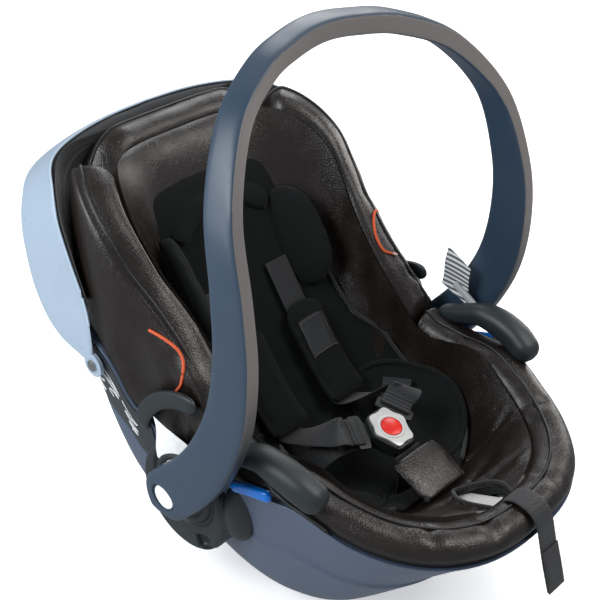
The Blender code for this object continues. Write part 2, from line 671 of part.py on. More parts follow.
def make_visor():
    """A crescent band turned about its own hinge line, so it sweeps clear of the seat."""
    stations = [(0.0131, 0.1980), (0.040, 0.1980), *VISOR_PROFILE[1:]]
    half = smooth_path(stations, 2)
    stations = [(p[0], -p[1]) for p in half] + [(p[0], p[1]) for p in half[-2::-1]]
    rows = 5
    rings = []
    for radius, x in stations:
        top = read_table(VISOR_TOP, radius)
        foot = read_table(VISOR_FOOT, radius)
        slope = min(1.0, max(0.0, (radius - 0.15) / 0.10))
        thin_x = math.copysign(VISOR_WALL * (1 - 0.6 * slope), x) if abs(x) > 0.001 else 0.0
        thin_r = VISOR_WALL * slope
        outer = [visor_point(radius, x, foot + (top - foot) * k / rows)
                 for k in range(rows + 1)]
        inner = [visor_point(radius - thin_r, x - thin_x, foot + (top - foot) * k / rows)
                 for k in range(rows + 1)]
        rings.append(outer + inner[::-1])
    visor = loft("canopy_visor", rings, "visor_blue", origin=VISOR_PIVOT)
    for side, name in ((-1, "left"), (1, "right")):
        eye = drum("visor_eye_" + name, 0.0145, side * 0.1940, side * 0.1984, VISOR_PIVOT,
                   None, sides=20, collection=CUTTERS)
        combine(visor, eye, 'UNION')
        hole = drum("visor_hole_" + name, 0.0044, side * 0.185, side * 0.205, VISOR_PIVOT,
                    None, sides=16, collection=CUTTERS)
        combine(visor, hole, 'DIFFERENCE')
        pin = drum("canopy_pin_" + name, 0.0038, side * 0.1830, side * 0.1995, VISOR_PIVOT,
                   "steel", sides=14)
        head = drum("canopy_pin_head_" + name, 0.0070, side * 0.1986, side * 0.2006,
                    VISOR_PIVOT, None, bevel=0.0005, sides=16, collection=CUTTERS)
        combine(pin, head, 'UNION')
        seat = drum("pin_seat_" + name, 0.0042, side * 0.170, side * 0.200, VISOR_PIVOT, None,
                    sides=14, collection=CUTTERS)
        combine(bpy.data.objects["outer_shell"], seat, 'DIFFERENCE')


def make_canopy_fabric():
    """The folded canopy, packed between the head roll and the visor."""
    rings = []
    for step in range(15):
        x = -0.147 + 0.021 * step
        reach = read_table([(p[1], p[0]) for p in VISOR_PROFILE[::-1]], abs(x))
        outer = reach - VISOR_WALL - 0.0015
        ring = [visor_point(radius, x, degrees) for radius, degrees in
                ((outer - 0.009, 51), (outer, 47), (outer, 54), (outer - 0.009, 57))]
        rings.append(ring)
    loft("canopy_fabric", rings, "canopy_cloth")


# ---------------------------------------------------------------- padding laid in the seat
INLAY = 0.012
INLAY_WIDTH = [(-0.172, 0.050), (-0.140, 0.098), (-0.080, 0.122), (0.0, 0.122), (0.05, 0.108),
               (0.12, 0.098), (0.205, 0.086)]


def inlay_top(x, y):
    return lining_height(x, y) + GAP + INLAY


def over_inlay(x, y, half, up):
    """A point clear of the inlay across a strap's half width."""
    tops = [inlay_top(x + dx, y + dy) for dx in (-half, 0, half) for dy in (-0.012, 0.0)]
    return Vector((x, y, max(tops) + up))


def inlay_rings(grow):
    """Rows of the padded inlay from foot to head, a little larger all round by grow."""
    rows, columns = 14, 8
    rings = []
    for row in range(rows + 1):
        y = -0.172 - grow + (0.377 + 2 * grow) * row / rows
        half = read_table(INLAY_WIDTH, y) + grow
        xs = [half * (2 * k / columns - 1) for k in range(columns + 1)]
        low = [Vector((x, y, lining_height(x, y) - 0.006)) for x in xs]
        high = [Vector((x, y, inlay_top(x, y) + grow - 0.004 * abs(x / half)**6)) for x in xs]
        rings.append(low + high[::-1])
    return rings


def make_inlay():
    inlay = loft("seat_inlay", inlay_rings(0.0), "knit_black")
    combine(inlay, bpy.data.objects["lining_envelope"], 'DIFFERENCE')
    combine(inlay, bpy.data.objects["crotch_slot"], 'DIFFERENCE')
    loft("inlay_envelope", inlay_rings(GAP), None, collection=CUTTERS)
    route = [(-0.078, 0.104), (-0.082, 0.120), (-0.078, 0.144), (-0.060, 0.172),
             (-0.030, 0.188), (0.0, 0.192), (0.030, 0.188), (0.060, 0.172), (0.078, 0.144),
             (0.082, 0.120), (0.078, 0.104)]
    half_height = 0.013
    path = [Vector((x, y, inlay_top(x, y) + half_height + 0.003)) for x, y in route]
    rings = []
    for k, point in enumerate(path):
        tangent = (path[min(k + 1, len(path) - 1)] - path[max(k - 1, 0)]).normalized()
        up = Vector((0.0, -0.62, 0.78))
        up = (up - tangent * up.dot(tangent)).normalized()
        wide = 0.023 if 0 < k < len(path) - 1 else 0.014
        rings.append(rounded_section(point + up * 0.003, tangent.cross(up), up, wide,
                                     half_height, 10))
    pillow = loft("head_pillow", rings, "knit_black")
    combine(pillow, bpy.data.objects["inlay_envelope"], 'DIFFERENCE')
    combine(pillow, bpy.data.objects["lining_envelope"], 'DIFFERENCE')


# ---------------------------------------------------------------- buckle and harness
BUCKLE_AXES = Matrix.Translation(BUCKLE) @ Matrix.Rotation(BUCKLE_TILT, 4, 'X')
PLATE_OUTLINE = [(-0.0125, 0.0240), (-0.0225, 0.0020), (-0.0120, -0.0240), (0.0120, -0.0240),
                 (0.0225, 0.0020), (0.0125, 0.0240)]
TONGUE_ANGLE = math.atan2(0.022, 0.010)      # between a tongue's blade and the buckle's length


def prism(node, outline, z0, z1, finish, grow=0.0, bevel=0.0, collection=PARTS, origin=None,
          axes=None):
    """An outline in the buckle's own plane, extruded along its normal."""
    work = bmesh.new()
    rows = []
    for z in (z0, z1):
        row = []
        for x, y in outline:
            out = Vector((x, y)).normalized() * grow
            row.append(work.verts.new((x + out.x, y + out.y, z)))
        rows.append(row)
    work.faces.new(rows[0][::-1])
    work.faces.new(rows[1])
    for k in range(len(outline)):
        n = (k + 1) % len(outline)
        work.faces.new((rows[0][k], rows[0][n], rows[1][n], rows[1][k]))
    if bevel:
        bmesh.ops.bevel(work, geom=list(work.edges), offset=bevel, segments=2, profile=0.5,
                        affect='EDGES')
    bmesh.ops.transform(work, matrix=axes or BUCKLE_AXES, verts=work.verts)
    return add_object(node, mesh_from(work, node), finish, collection, origin)


def circle(radius, sides=24, stretch=1.0):
    return [(radius * math.cos(a), radius * stretch * math.sin(a)) for a in turn(sides)]


def make_buckle():
    body = prism("buckle_body", PLATE_OUTLINE, -0.0185, -0.0019, "plastic_black", grow=0.0025,
                 bevel=0.002)
    face = prism("buckle_face", PLATE_OUTLINE, -0.0015, 0.0015, "plate_silver", bevel=0.0007)
    well = prism("button_well", circle(0.0125), -0.0140, 0.010, None, collection=CUTTERS)
    combine(body, well, 'DIFFERENCE')
    combine(face, well, 'DIFFERENCE')
    top = BUCKLE_AXES @ Vector((0, 0, 0.0022))
    prism("buckle_button", circle(0.0120), -0.0046, 0.0022, "button_red", bevel=0.0007,
          origin=top)
    coil("buckle_spring", 0.0055, 0.0007, BUCKLE_AXES @ Vector((0, 0, -0.0130)),
         BUCKLE_AXES @ Vector((0, 0, -0.0056)), 3)
    for side, name in ((-1, "left"), (1, "right")):
        make_tongue(side, name, body)


def tongue_axes(side):
    """Frame of one tongue: X along its slot, Y out of the buckle."""
    spin = Matrix.Rotation(-side * TONGUE_ANGLE, 4, 'Z')
    edge = Matrix.Translation((side * 0.0175, 0.0130, 0.0))
    return BUCKLE_AXES @ edge @ spin


def make_tongue(side, name, body):
    axes = tongue_axes(side)
    blade = [(-0.008, -0.008), (0.008, -0.008), (0.008, 0.0045), (0.022, 0.0065),
             (0.022, 0.0205), (-0.022, 0.0205), (-0.022, 0.0065), (-0.008, 0.0045)]
    tongue = prism("tongue_" + name, blade, -0.0112, -0.0080, "plastic_black", axes=axes)
    hole = [(-0.0170, 0.0118), (0.0170, 0.0118), (0.0170, 0.0160), (-0.0170, 0.0160)]
    combine(tongue, prism("tongue_slot_" + name, hole, -0.02, 0.0, None, axes=axes,
                          collection=CUTTERS), 'DIFFERENCE')
    throat = [(-0.0085, -0.0086), (0.0085, -0.0086), (0.0085, 0.012), (-0.0085, 0.012)]
    combine(body, prism("tongue_throat_" + name, throat, -0.0116, -0.0076, None, axes=axes,
                        collection=CUTTERS), 'DIFFERENCE')


def make_harness():
    make_buckle()
    for side, name in ((-1, "left"), (1, "right")):
        axes = tongue_axes(side)
        across = side * (axes.to_3x3() @ Vector((1, 0, 0)))
        chest = [(0.048, 0.125, 0.0045), (0.048, 0.088, 0.0045), (0.048, 0.056, 0.0045),
                 (0.048, 0.024, 0.0060), (0.048, -0.004, 0.0130)]
        route = [over_inlay(side * x, y, 0.020, up) for x, y, up in chest]
        loose = [axes @ Vector(p) for p in ((0, 0.0440, -0.0010), (0, 0.0280, -0.0050),
                                            (0, 0.0130, -0.0058))]
        strap("shoulder_strap_" + name, route + loose,
              [Vector((side, 0, 0))] * 5 + [across] * 3, 0.034, 0.0022, per_span=2)
        hip = [axes @ Vector(p) for p in ((0, 0.0130, -0.0138), (0, 0.0280, -0.0180),
                                          (0, 0.0440, -0.0310))]
        hip.append(over_inlay(side * 0.080, -0.050, 0.022, 0.0060))
        hip.append(over_inlay(side * 0.098, -0.036, 0.022, 0.0020))
        strap("hip_strap_" + name, hip, across, 0.034, 0.0022, per_span=2)
        pad = smooth_path([p + Vector((0, -0.0030, 0.0085)) for p in route[1:]], 2)
        rings = []
        for k, point in enumerate(pad):
            tangent = (pad[min(k + 1, len(pad) - 1)] - pad[max(k - 1, 0)]).normalized()
            wide = Vector((1, 0, 0))
            wide = (wide - tangent * wide.dot(tangent)).normalized()
            half = 0.030 if 0 < k < len(pad) - 1 else 0.025
            rings.append(rounded_section(point, wide, tangent.cross(wide), half, 0.0050, 10))
        padding = loft("harness_pad_" + name, rings, "knit_black")
        for envelope in ("inlay_envelope", "lining_envelope"):
            combine(padding, bpy.data.objects[envelope], 'DIFFERENCE')
    foot_edge = BUCKLE_AXES @ Vector((0, -0.0290, -0.0100))
    strap("crotch_strap", [(0, -0.138, 0.108), (0, -0.1385, 0.130), (0, -0.1385, 0.155),
                           tuple(foot_edge)], (1, 0, 0), 0.040, 0.0024, per_span=2)
    strap("crotch_pad", [(0, -0.1520, 0.1450), (0, -0.1510, 0.154), (0, -0.1475, 0.170),
                         (0, -0.1400, 0.1845)], (1, 0, 0), 0.060, 0.0100, "leatherette", 2)


# ---------------------------------------------------------------- harness adjuster
ADJUSTER = Vector((0.0, -0.236, 0.1540))
ADJUSTER_SLOPE = math.radians(-31)           # it lies along the seat's front slope


def make_adjuster():
    axes = Matrix.Translation(ADJUSTER) @ Matrix.Rotation(ADJUSTER_SLOPE, 4, 'X')
    housing = box("adjuster_housing", (0.0340, 0.0620, 0.0100), axes, "plastic_black",
                  bevel=0.001, segments=1)
    for side, name in ((-1, "left"), (1, "right")):
        ear = box("adjuster_ear_" + name, (0.0030, 0.0110, 0.0120),
                  axes @ Matrix.Translation((side * 0.0148, -0.0226, 0.0080)), None,
                  collection=CUTTERS)
        combine(housing, ear, 'UNION')
    hinge = axes @ Vector((0, -0.0226, 0.0095))
    bore = drum("adjuster_bore", 0.0019, -0.03, 0.03, hinge, None, sides=12,
                collection=CUTTERS)
    combine(housing, bore, 'DIFFERENCE')
    drum("adjuster_pin", 0.0015, -0.0168, 0.0168, hinge, "steel", sides=12)
    lever = box("adjuster_lever", (0.0260, 0.0520, 0.0030),
                axes @ Matrix.Translation((0, 0.0030, 0.0118)) @ Matrix.Rotation(
                    math.radians(3), 4, 'X'), "plate_pale", bevel=0.0008, segments=2,
                origin=hinge)
    barrel = drum("lever_barrel", 0.0036, -0.0130, 0.0130, hinge, None, sides=16,
                  collection=CUTTERS)
    combine(lever, barrel, 'UNION')
    lever_bore = drum("lever_bore", 0.0019, -0.0135, 0.0135, hinge, None, sides=12,
                      collection=CUTTERS)
    combine(lever, lever_bore, 'DIFFERENCE')
    coil("adjuster_spring", 0.0035, 0.0005, axes @ Vector((0, 0.018, 0.0058)),
         axes @ Vector((0, 0.018, 0.0104)), 3)
    strap("adjuster_strap", [(0, -0.2660, 0.2010), (0, -0.2760, 0.2072), (0, -0.2880, 0.2082),
                             (0, -0.2990, 0.2050), (0, -0.3080, 0.1960), (0, -0.3150, 0.1780),
                             (0, -0.3230, 0.1550), (0, -0.3360, 0.1220)], (1, 0, 0), 0.027,
          0.0024, per_span=2)


# ---------------------------------------------------------------- base and trim
def make_base():
    bottom = SHELL_BOTTOM - GAP
    box("base_plate", (0.100, 0.130, bottom), Matrix.Translation((0, 0, bottom / 2)),
        "plastic_black", bevel=0.0015, segments=1)
    for y, end in ((-0.088, "front"), (0.104, "rear")):
        for side, name in ((-1, "left"), (1, "right")):
            foot = bmesh.new()
            bmesh.ops.create_cone(foot, cap_ends=True, segments=20, radius1=0.013,
                                  radius2=0.0115, depth=bottom,
                                  matrix=Matrix.Translation((side * 0.066, y, bottom / 2)))
            node = "foot_" + end + "_" + name
            add_object(node, mesh_from(foot, node), "rubber")
    shell = bpy.data.objects["outer_shell"]
    for y, end in ((-0.088, "front"), (0.104, "rear")):
        notch = box("latch_notch_" + end, (0.086, 0.024, 0.03),
                    Matrix.Translation((0, y, SHELL_BOTTOM)), None, collection=CUTTERS)
        combine(shell, notch, 'DIFFERENCE')
        drum("latch_bar_" + end, 0.0045, -0.0427, 0.0427, Vector((0, y, 0.0125)), "steel",
             sides=16)


PANEL_SHARES = (0.62, 0.70, 0.78, 0.86)


def make_side_panels():
    """A flat trim panel on each flank behind the hub, following the shell's side."""
    for side, name in ((-1, "left"), (1, "right")):
        rings = []
        for step in range(6):
            rim = 0.116 + 0.020 * step
            low = [panel_point(rim, share, side, 0.0010) for share in PANEL_SHARES]
            high = [panel_point(rim, share, side, 0.0028) for share in PANEL_SHARES[::-1]]
            rings.append(low + high)
        loft("side_panel_" + name, rings, "shell_dark")


def panel_point(y, share, side, away):
    return shell_rings([angle_at(y, side)], -away, 0.0, [share])[0][0]


def make_rear_hook():
    """The hook at the back of the shell that guides the car's shoulder belt."""
    path = [(0, 0.2700, 0.268), (0, 0.290, 0.270), (0, 0.304, 0.280), (0, 0.306, 0.300)]
    strap("rear_belt_hook", path, (1, 0, 0), 0.070, 0.0060, "charcoal", per_span=2)


make_shell()
make_lining()
make_rolls()
make_handle()
ENVELOPE = hub_envelope()
for SIDE, NAME in ((-1, "left"), (1, "right")):
    make_hub(SIDE, NAME, ENVELOPE)
    make_lock(SIDE, NAME)
    make_belt_fittings(SIDE, NAME)
make_visor()
make_canopy_fabric()
make_inlay()
make_harness()
make_adjuster()
make_base()
make_side_panels()
make_rear_hook()
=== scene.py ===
"""Looks for the infant car seat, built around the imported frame.

Metres, in the frame of the CAD: X across the seat, +Y towards the head end, +Z up.
The driving dimensions and most of the tables are those that the CAD solids are made from.
"""
import math

import bmesh
import bpy
import numpy as np
from mathutils import Matrix, Vector, noise
from mathutils.bvhtree import BVHTree


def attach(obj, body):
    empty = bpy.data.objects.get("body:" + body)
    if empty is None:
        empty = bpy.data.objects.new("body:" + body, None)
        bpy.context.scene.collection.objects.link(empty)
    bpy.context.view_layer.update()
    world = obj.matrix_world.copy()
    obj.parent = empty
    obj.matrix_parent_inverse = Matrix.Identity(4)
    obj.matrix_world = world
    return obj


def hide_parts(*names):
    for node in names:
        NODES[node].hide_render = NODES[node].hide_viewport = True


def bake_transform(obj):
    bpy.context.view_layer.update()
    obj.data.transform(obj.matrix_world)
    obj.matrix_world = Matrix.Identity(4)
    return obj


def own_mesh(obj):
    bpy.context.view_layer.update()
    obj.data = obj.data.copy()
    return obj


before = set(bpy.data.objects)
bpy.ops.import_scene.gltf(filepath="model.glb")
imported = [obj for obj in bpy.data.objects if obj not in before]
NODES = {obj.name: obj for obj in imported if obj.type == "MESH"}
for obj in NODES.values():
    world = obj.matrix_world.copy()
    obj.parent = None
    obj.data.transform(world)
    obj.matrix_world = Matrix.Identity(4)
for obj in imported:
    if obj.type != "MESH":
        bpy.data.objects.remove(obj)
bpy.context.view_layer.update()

# ---------------------------------------------------------------- driving dimensions
FOOT_END, HEAD_END, PLAN_CENTRE = -0.304, 0.290, -0.020
FOOT_POWER, HEAD_POWER = 2.6, 4.0
SHELL_WALL, SHELL_BOTTOM, CREASE_SHARE = 0.0035, 0.008, 0.60
ROLL = 0.046                 # width of the padded rim
PIVOT = Vector((0.0, 0.020, 0.140))
HUB_FACE, HUB_RADIUS = 0.1915, 0.066
HUB_CENTRE = Vector((0.0, 0.022, 0.118))
VISOR_PIVOT = Vector((0.0, 0.161, 0.226))
VISOR_WALL = 0.0035
BUCKLE = Vector((0.0, -0.107, 0.190))
BUCKLE_TILT = math.radians(16)
ADJUSTER = Vector((0.0, -0.236, 0.1540))
ADJUSTER_SLOPE = math.radians(-31)
INLAY = 0.012
SOCKET_FLOOR = 0.1745        # bottom of the hub's socket, from the middle plane
PAINTED_REFLECTION_FADE = (0.270, 0.370)             # heights over which the painted reflection on the handle's front fades out downwards to its dark colour

HALF_WIDTH = [(-0.31, 0.184), (-0.12, 0.187), (-0.02, 0.182), (0.04, 0.176), (0.09, 0.180),
              (0.13, 0.190), (0.16, 0.195), (0.20, 0.194), (0.29, 0.180)]
SHELL_RIM = [(-0.31, 0.176), (-0.24, 0.180), (-0.19, 0.189), (-0.14, 0.205), (-0.08, 0.193),
             (-0.02, 0.178), (0.06, 0.174), (0.11, 0.192), (0.145, 0.240), (0.19, 0.264),
             (0.24, 0.318), (0.29, 0.378)]
CREST = [(-0.31, 0.203), (-0.24, 0.209), (-0.19, 0.219), (-0.14, 0.228), (-0.08, 0.222),
         (-0.03, 0.228), (0.03, 0.278), (0.08, 0.320), (0.12, 0.354), (0.16, 0.394),
         (0.21, 0.424), (0.25, 0.434), (0.29, 0.431)]
CENTRE_FLOOR = [(-0.27, 0.190), (-0.25, 0.180), (-0.215, 0.158), (-0.18, 0.138), (-0.14, 0.119),
                (-0.10, 0.106), (-0.05, 0.098), (-0.01, 0.108), (0.03, 0.142), (0.07, 0.184),
                (0.12, 0.240), (0.17, 0.300), (0.22, 0.368), (0.25, 0.402)]
INLAY_WIDTH = [(-0.172, 0.050), (-0.140, 0.098), (-0.080, 0.122), (0.0, 0.122), (0.05, 0.108),
               (0.12, 0.104), (0.205, 0.097)]
VISOR_PROFILE = [(0.000, 0.1980), (0.060, 0.1980), (0.110, 0.1970), (0.150, 0.1940),
                 (0.178, 0.1890), (0.202, 0.1790), (0.220, 0.1640), (0.233, 0.1400),
                 (0.243, 0.1020), (0.249, 0.0550), (0.251, 0.0000)]
VISOR_TOP = [(0.013, 88), (0.065, 84), (0.110, 76), (0.150, 71), (0.200, 67), (0.233, 59),
             (0.251, 56)]
VISOR_FOOT = [(0.013, 0), (0.065, 8), (0.110, 24), (0.150, 37), (0.200, 46), (0.233, 46),
              (0.251, 45)]
SIDES = ((-1, "left"), (1, "right"))


# ---------------------------------------------------------------- shared shape functions
def read_table(table, at):
    """Smooth (Catmull-Rom) reading of a table of (position, value)."""
    if at <= table[0][0]:
        return table[0][1]
    if at >= table[-1][0]:
        return table[-1][1]
    i = max(k for k in range(len(table) - 1) if table[k][0] <= at)
    (x0, v0), (x1, v1) = table[i], table[i + 1]
    before = table[max(i - 1, 0)]
    after = table[min(i + 2, len(table) - 1)]
    slope0 = (v1 - before[1]) / (x1 - before[0])
    slope1 = (after[1] - v0) / (after[0] - x0)
    t = (at - x0) / (x1 - x0)
    h = x1 - x0
    return ((2 * t**3 - 3 * t**2 + 1) * v0 + (t**3 - 2 * t**2 + t) * h * slope0
            + (-2 * t**3 + 3 * t**2) * v1 + (t**3 - t**2) * h * slope1)


def smooth_path(points, per_span, closed=False):
    """A Catmull-Rom path through given points (tuples of any length)."""
    points = [Vector(p) for p in points]
    if closed:
        padded = [points[-1], *points, points[0], points[1]]
    else:
        padded = [2 * points[0] - points[1], *points, 2 * points[-1] - points[-2]]
    path = []
    for i in range(1, len(padded) - 2):
        p0, p1, p2, p3 = padded[i - 1:i + 3]
        for k in range(per_span):
            t = k / per_span
            path.append(0.5 * (2 * p1 + (p2 - p0) * t + (2 * p0 - 5 * p1 + 4 * p2 - p3) * t**2
                               + (3 * p1 - p0 - 3 * p2 + p3) * t**3))
    if not closed:
        path.append(points[-1])
    return path


def turns_of(count):
    """Angles evenly spaced round a circle."""
    return [2 * math.pi * k / count for k in range(count)]


def mirrored(point, side):
    """A point or direction of the right side, taken over to the given side."""
    return Vector((side * point.x, point.y, point.z))


def lengths_along(points):
    """Distance along a path at each of its points."""
    travel = [0.0]
    for a, b in zip(points, points[1:]):
        travel.append(travel[-1] + (b - a).length)
    return travel


def smooth_step(low, high, at):
    t = min(1.0, max(0.0, (at - low) / (high - low)))
    return t * t * (3 - 2 * t)


def plan_point(angle, inset=0.0):
    """The shell's rim seen from above, moved in by inset."""
    c, s = math.cos(angle), math.sin(angle)
    reach = (HEAD_END - PLAN_CENTRE) if s > 0 else (PLAN_CENTRE - FOOT_END)
    power = HEAD_POWER if s > 0 else FOOT_POWER
    y = math.copysign(abs(s)**(2 / power), s)
    x = math.copysign(abs(c)**(2 / power), c)
    half = read_table(HALF_WIDTH, PLAN_CENTRE + reach * y)
    return Vector(((half - inset) * x, PLAN_CENTRE + (reach - inset) * y, 0.0))


def rim_y(angle):
    return plan_point(angle).y


def foam_rim(y):
    return max(read_table(CREST, y) - 0.028, read_table(SHELL_RIM, y) + 0.008)


def rim_travel(angles):
    """Distance along the padded rim's crest at each of these plan angles."""
    places = []
    for angle in angles:
        place = plan_point(angle)
        place.z = read_table(CREST, place.y)
        places.append(place)
    return lengths_along(places)


def even_angles(count):
    """Plan angles spaced evenly along the rim, from the foot end up the right side and round."""
    fine = 2880
    angles = [-math.pi / 2 + math.pi * k / fine for k in range(fine + 1)]
    travel = rim_travel(angles)
    half = [float(np.interp(travel[-1] * k / (count // 2), travel, angles))
            for k in range(count // 2 + 1)]
    return half + [math.pi - a for a in half[-2:0:-1]]


def shell_point(angle, share, inset=0.0, proud=0.0):
    """A point of the outer shell: share runs from its flat bottom, 0, to its rim, 1."""
    foot = max(0.0, -math.sin(angle))**2
    head = max(0.0, math.sin(angle))**2
    base = 0.59 - 0.24 * foot - 0.08 * head
    scale = base + (1 - base) * share**(0.36 + 0.50 * foot + 0.20 * head)
    below = 1.0 - smooth_step(CREASE_SHARE - 0.022, CREASE_SHARE + 0.006, share)
    scale += 0.012 * min(1.0, share / 0.15) * below
    rim = plan_point(angle, inset - proud)
    top = read_table(SHELL_RIM, rim_y(angle))
    return Vector((rim.x * scale, PLAN_CENTRE + (rim.y - PLAN_CENTRE) * scale,
                   SHELL_BOTTOM + inset + (top - SHELL_BOTTOM - inset) * share))


def lining_height(x, y):
    """Height of the seat's inner surface over a point of the plan."""
    half = read_table(HALF_WIDTH, y) - ROLL
    reach = (HEAD_END - PLAN_CENTRE if y > PLAN_CENTRE else PLAN_CENTRE - FOOT_END) - ROLL
    power = HEAD_POWER if y > PLAN_CENTRE else FOOT_POWER
    share = abs(x / half)**power + abs((y - PLAN_CENTRE) / reach)**power
    share = min(1.0, share**(1 / power))
    wall = share**5
    rim = PLAN_CENTRE + (y - PLAN_CENTRE) / max(share, 0.3)
    rim = max(FOOT_END, min(HEAD_END, rim))
    return (1 - wall) * read_table(CENTRE_FLOOR, y) + wall * foam_rim(rim)


def lining_point(angle, share, offset=0.0):
    rim = plan_point(angle, ROLL - offset)
    point = Vector((rim.x * share, PLAN_CENTRE + (rim.y - PLAN_CENTRE) * share, 0.0))
    wall = share**5
    floor = read_table(CENTRE_FLOOR, point.y) - offset * (1 - wall)
    point.z = (1 - wall) * floor + wall * foam_rim(rim_y(angle))
    return point


def lining_normal(x, y):
    d = 0.002
    gx = (lining_height(x + d, y) - lining_height(x - d, y)) / (2 * d)
    gy = (lining_height(x, y + d) - lining_height(x, y - d)) / (2 * d)
    return Vector((-gx, -gy, 1.0)).normalized()


# ---------------------------------------------------------------- mesh helpers
def mesh_object(name, work):
    bmesh.ops.recalc_face_normals(work, faces=work.faces)
    mesh = bpy.data.meshes.new(name)
    work.to_mesh(mesh)
    work.free()
    placed = bpy.data.objects.new(name, mesh)
    bpy.context.scene.collection.objects.link(placed)
    return placed


def ring_solid(name, rings, closed=False):
    """Skin equal rings into a solid, its ends capped or joined to each other."""
    work = bmesh.new()
    rows = [[work.verts.new(p) for p in ring] for ring in rings]
    pairs = list(zip(rows, rows[1:]))
    if closed:
        pairs.append((rows[-1], rows[0]))
    for row, following in pairs:
        for k in range(len(row)):
            n = (k + 1) % len(row)
            work.faces.new((row[k], row[n], following[n], following[k]))
    if not closed:
        for row in (rows[0], rows[-1]):
            middle = work.verts.new(sum((v.co for v in row), Vector()) / len(row))
            for k in range(len(row)):
                work.faces.new((row[k], row[(k + 1) % len(row)], middle))
    return mesh_object(name, work)


def bowl_solid(name, outer, inner):
    """A bowl between two sets of rings, each running from its pole to the rim."""
    work = bmesh.new()
    edges = []
    for rings in (outer, inner):
        rows = [[work.verts.new(p) for p in ring] for ring in rings]
        pole = work.verts.new(sum((Vector(p) for p in rings[0]), Vector()) / len(rings[0]))
        for k in range(len(rows[0])):
            work.faces.new((pole, rows[0][k], rows[0][(k + 1) % len(rows[0])]))
        for row, following in zip(rows, rows[1:]):
            for k in range(len(row)):
                n = (k + 1) % len(row)
                work.faces.new((row[k], row[n], following[n], following[k]))
        edges.append(rows[-1])
    for k in range(len(edges[0])):
        n = (k + 1) % len(edges[0])
        work.faces.new((edges[0][k], edges[0][n], edges[1][n], edges[1][k]))
    return mesh_object(name, work)


def sheet_solid(name, top, bottom):
    """A padded sheet: two equal grids of points joined round their edge."""
    work = bmesh.new()
    grids = [[[work.verts.new(p) for p in row] for row in grid] for grid in (top, bottom)]
    for grid in grids:
        for row, following in zip(grid, grid[1:]):
            for k in range(len(row) - 1):
                work.faces.new((row[k], row[k + 1], following[k + 1], following[k]))
    borders = []
    for grid in grids:
        borders.append(grid[0][:-1] + [row[-1] for row in grid[:-1]] + grid[-1][:0:-1]
                       + [row[0] for row in grid[:0:-1]])
    for k in range(len(borders[0])):
        n = (k + 1) % len(borders[0])
        work.faces.new((borders[0][k], borders[0][n], borders[1][n], borders[1][k]))
    return mesh_object(name, work)


def open_sheet(lines):
    """A sheet with no thickness through equal lines of points."""
    work = bmesh.new()
    grid = [[work.verts.new(p) for p in line] for line in lines]
    for line, following in zip(grid, grid[1:]):
        for k in range(len(line) - 1):
            work.faces.new((line[k], line[k + 1], following[k + 1], following[k]))
    return work


def frames_along(path, up):
    """(point, tangent, side, up) at each point of a path; up may be one for each point."""
    found = []
    for k, point in enumerate(path):
        tangent = (path[min(k + 1, len(path) - 1)] - path[max(k - 1, 0)]).normalized()
        lift = Vector(up[k] if isinstance(up, list) else up)
        lift = (lift - tangent * lift.dot(tangent)).normalized()
        found.append((point, tangent, tangent.cross(lift).normalized(), lift))
    return found


def squared(centre, wide, thick, half_width, half_thick, count=24, power=0.7):
    """A ring shaped as a superellipse; a lower power is squarer."""
    ring = []
    for k in range(count):
        angle = 2 * math.pi * (k + 0.5) / count
        c, s = math.cos(angle), math.sin(angle)
        ring.append(centre + wide * half_width * math.copysign(abs(c)**power, c)
                    + thick * half_thick * math.copysign(abs(s)**power, s))
    return ring


def cord_mesh(name, path, radius, sides=10, up=(0.1, 0.2, 1.0), closed=False):
    """A round cord along a path, its ends domed."""
    spots = frames_along(path, up)
    rings = []
    for point, _, side, lift in spots:
        rings.append([point + side * radius * math.cos(a) + lift * radius * math.sin(a)
                      for a in turns_of(sides)])
    if closed:
        return ring_solid(name, rings, closed=True)
    for end, sign in ((0, -1), (-1, 1)):
        point, tangent, side, lift = spots[end]
        caps = []
        for turn in (0.5, 0.85):
            out = point + tangent * sign * radius * math.sin(turn * math.pi / 2)
            small = radius * math.cos(turn * math.pi / 2)
            caps.append([out + side * small * math.cos(a) + lift * small * math.sin(a)
                         for a in turns_of(sides)])
        rings = rings + caps if end else caps[::-1] + rings
    return ring_solid(name, rings)


def ribbon(name, path, across, width, thickness, ribs=0.0, pitch=0.008):
    """Flat webbing with rounded edges; ribs raises cross ribs, as where it is bunched."""
    spots = frames_along(path, [Vector((0, 0, 1))] * len(path))
    travel = 0.0
    rings = []
    for k, (point, tangent, _, _) in enumerate(spots):
        if k:
            travel += (path[k] - path[k - 1]).length
        side = Vector(across[k] if isinstance(across, list) else across)
        side = (side - tangent * side.dot(tangent)).normalized()
        up = side.cross(tangent).normalized()
        lift = ribs * math.sin(travel * 2 * math.pi / pitch)
        rings.append(squared(point + up * lift, side, up, width / 2, thickness / 2, 28, 0.45))
    return ring_solid(name, rings)


def box_solid(name, size, matrix, bevel):
    work = bmesh.new()
    bmesh.ops.create_cube(work, size=1.0, matrix=Matrix.Diagonal((*size, 1.0)))
    bmesh.ops.bevel(work, geom=list(work.edges), offset=bevel, segments=3, profile=0.5,
                    affect='EDGES')
    bmesh.ops.transform(work, matrix=matrix, verts=work.verts)
    return mesh_object(name, work)


def turned(name, profile, centre, side=1, sides=64):
    """A solid turned about an axis along X: the profile is (x, radius), from axis to axis."""
    rings = []
    for x, radius in profile:
        rings.append([Vector((side * x, centre.y + radius * math.cos(a),
                              centre.z + radius * math.sin(a)))
                      for a in turns_of(sides)])
    return ring_solid(name, rings)


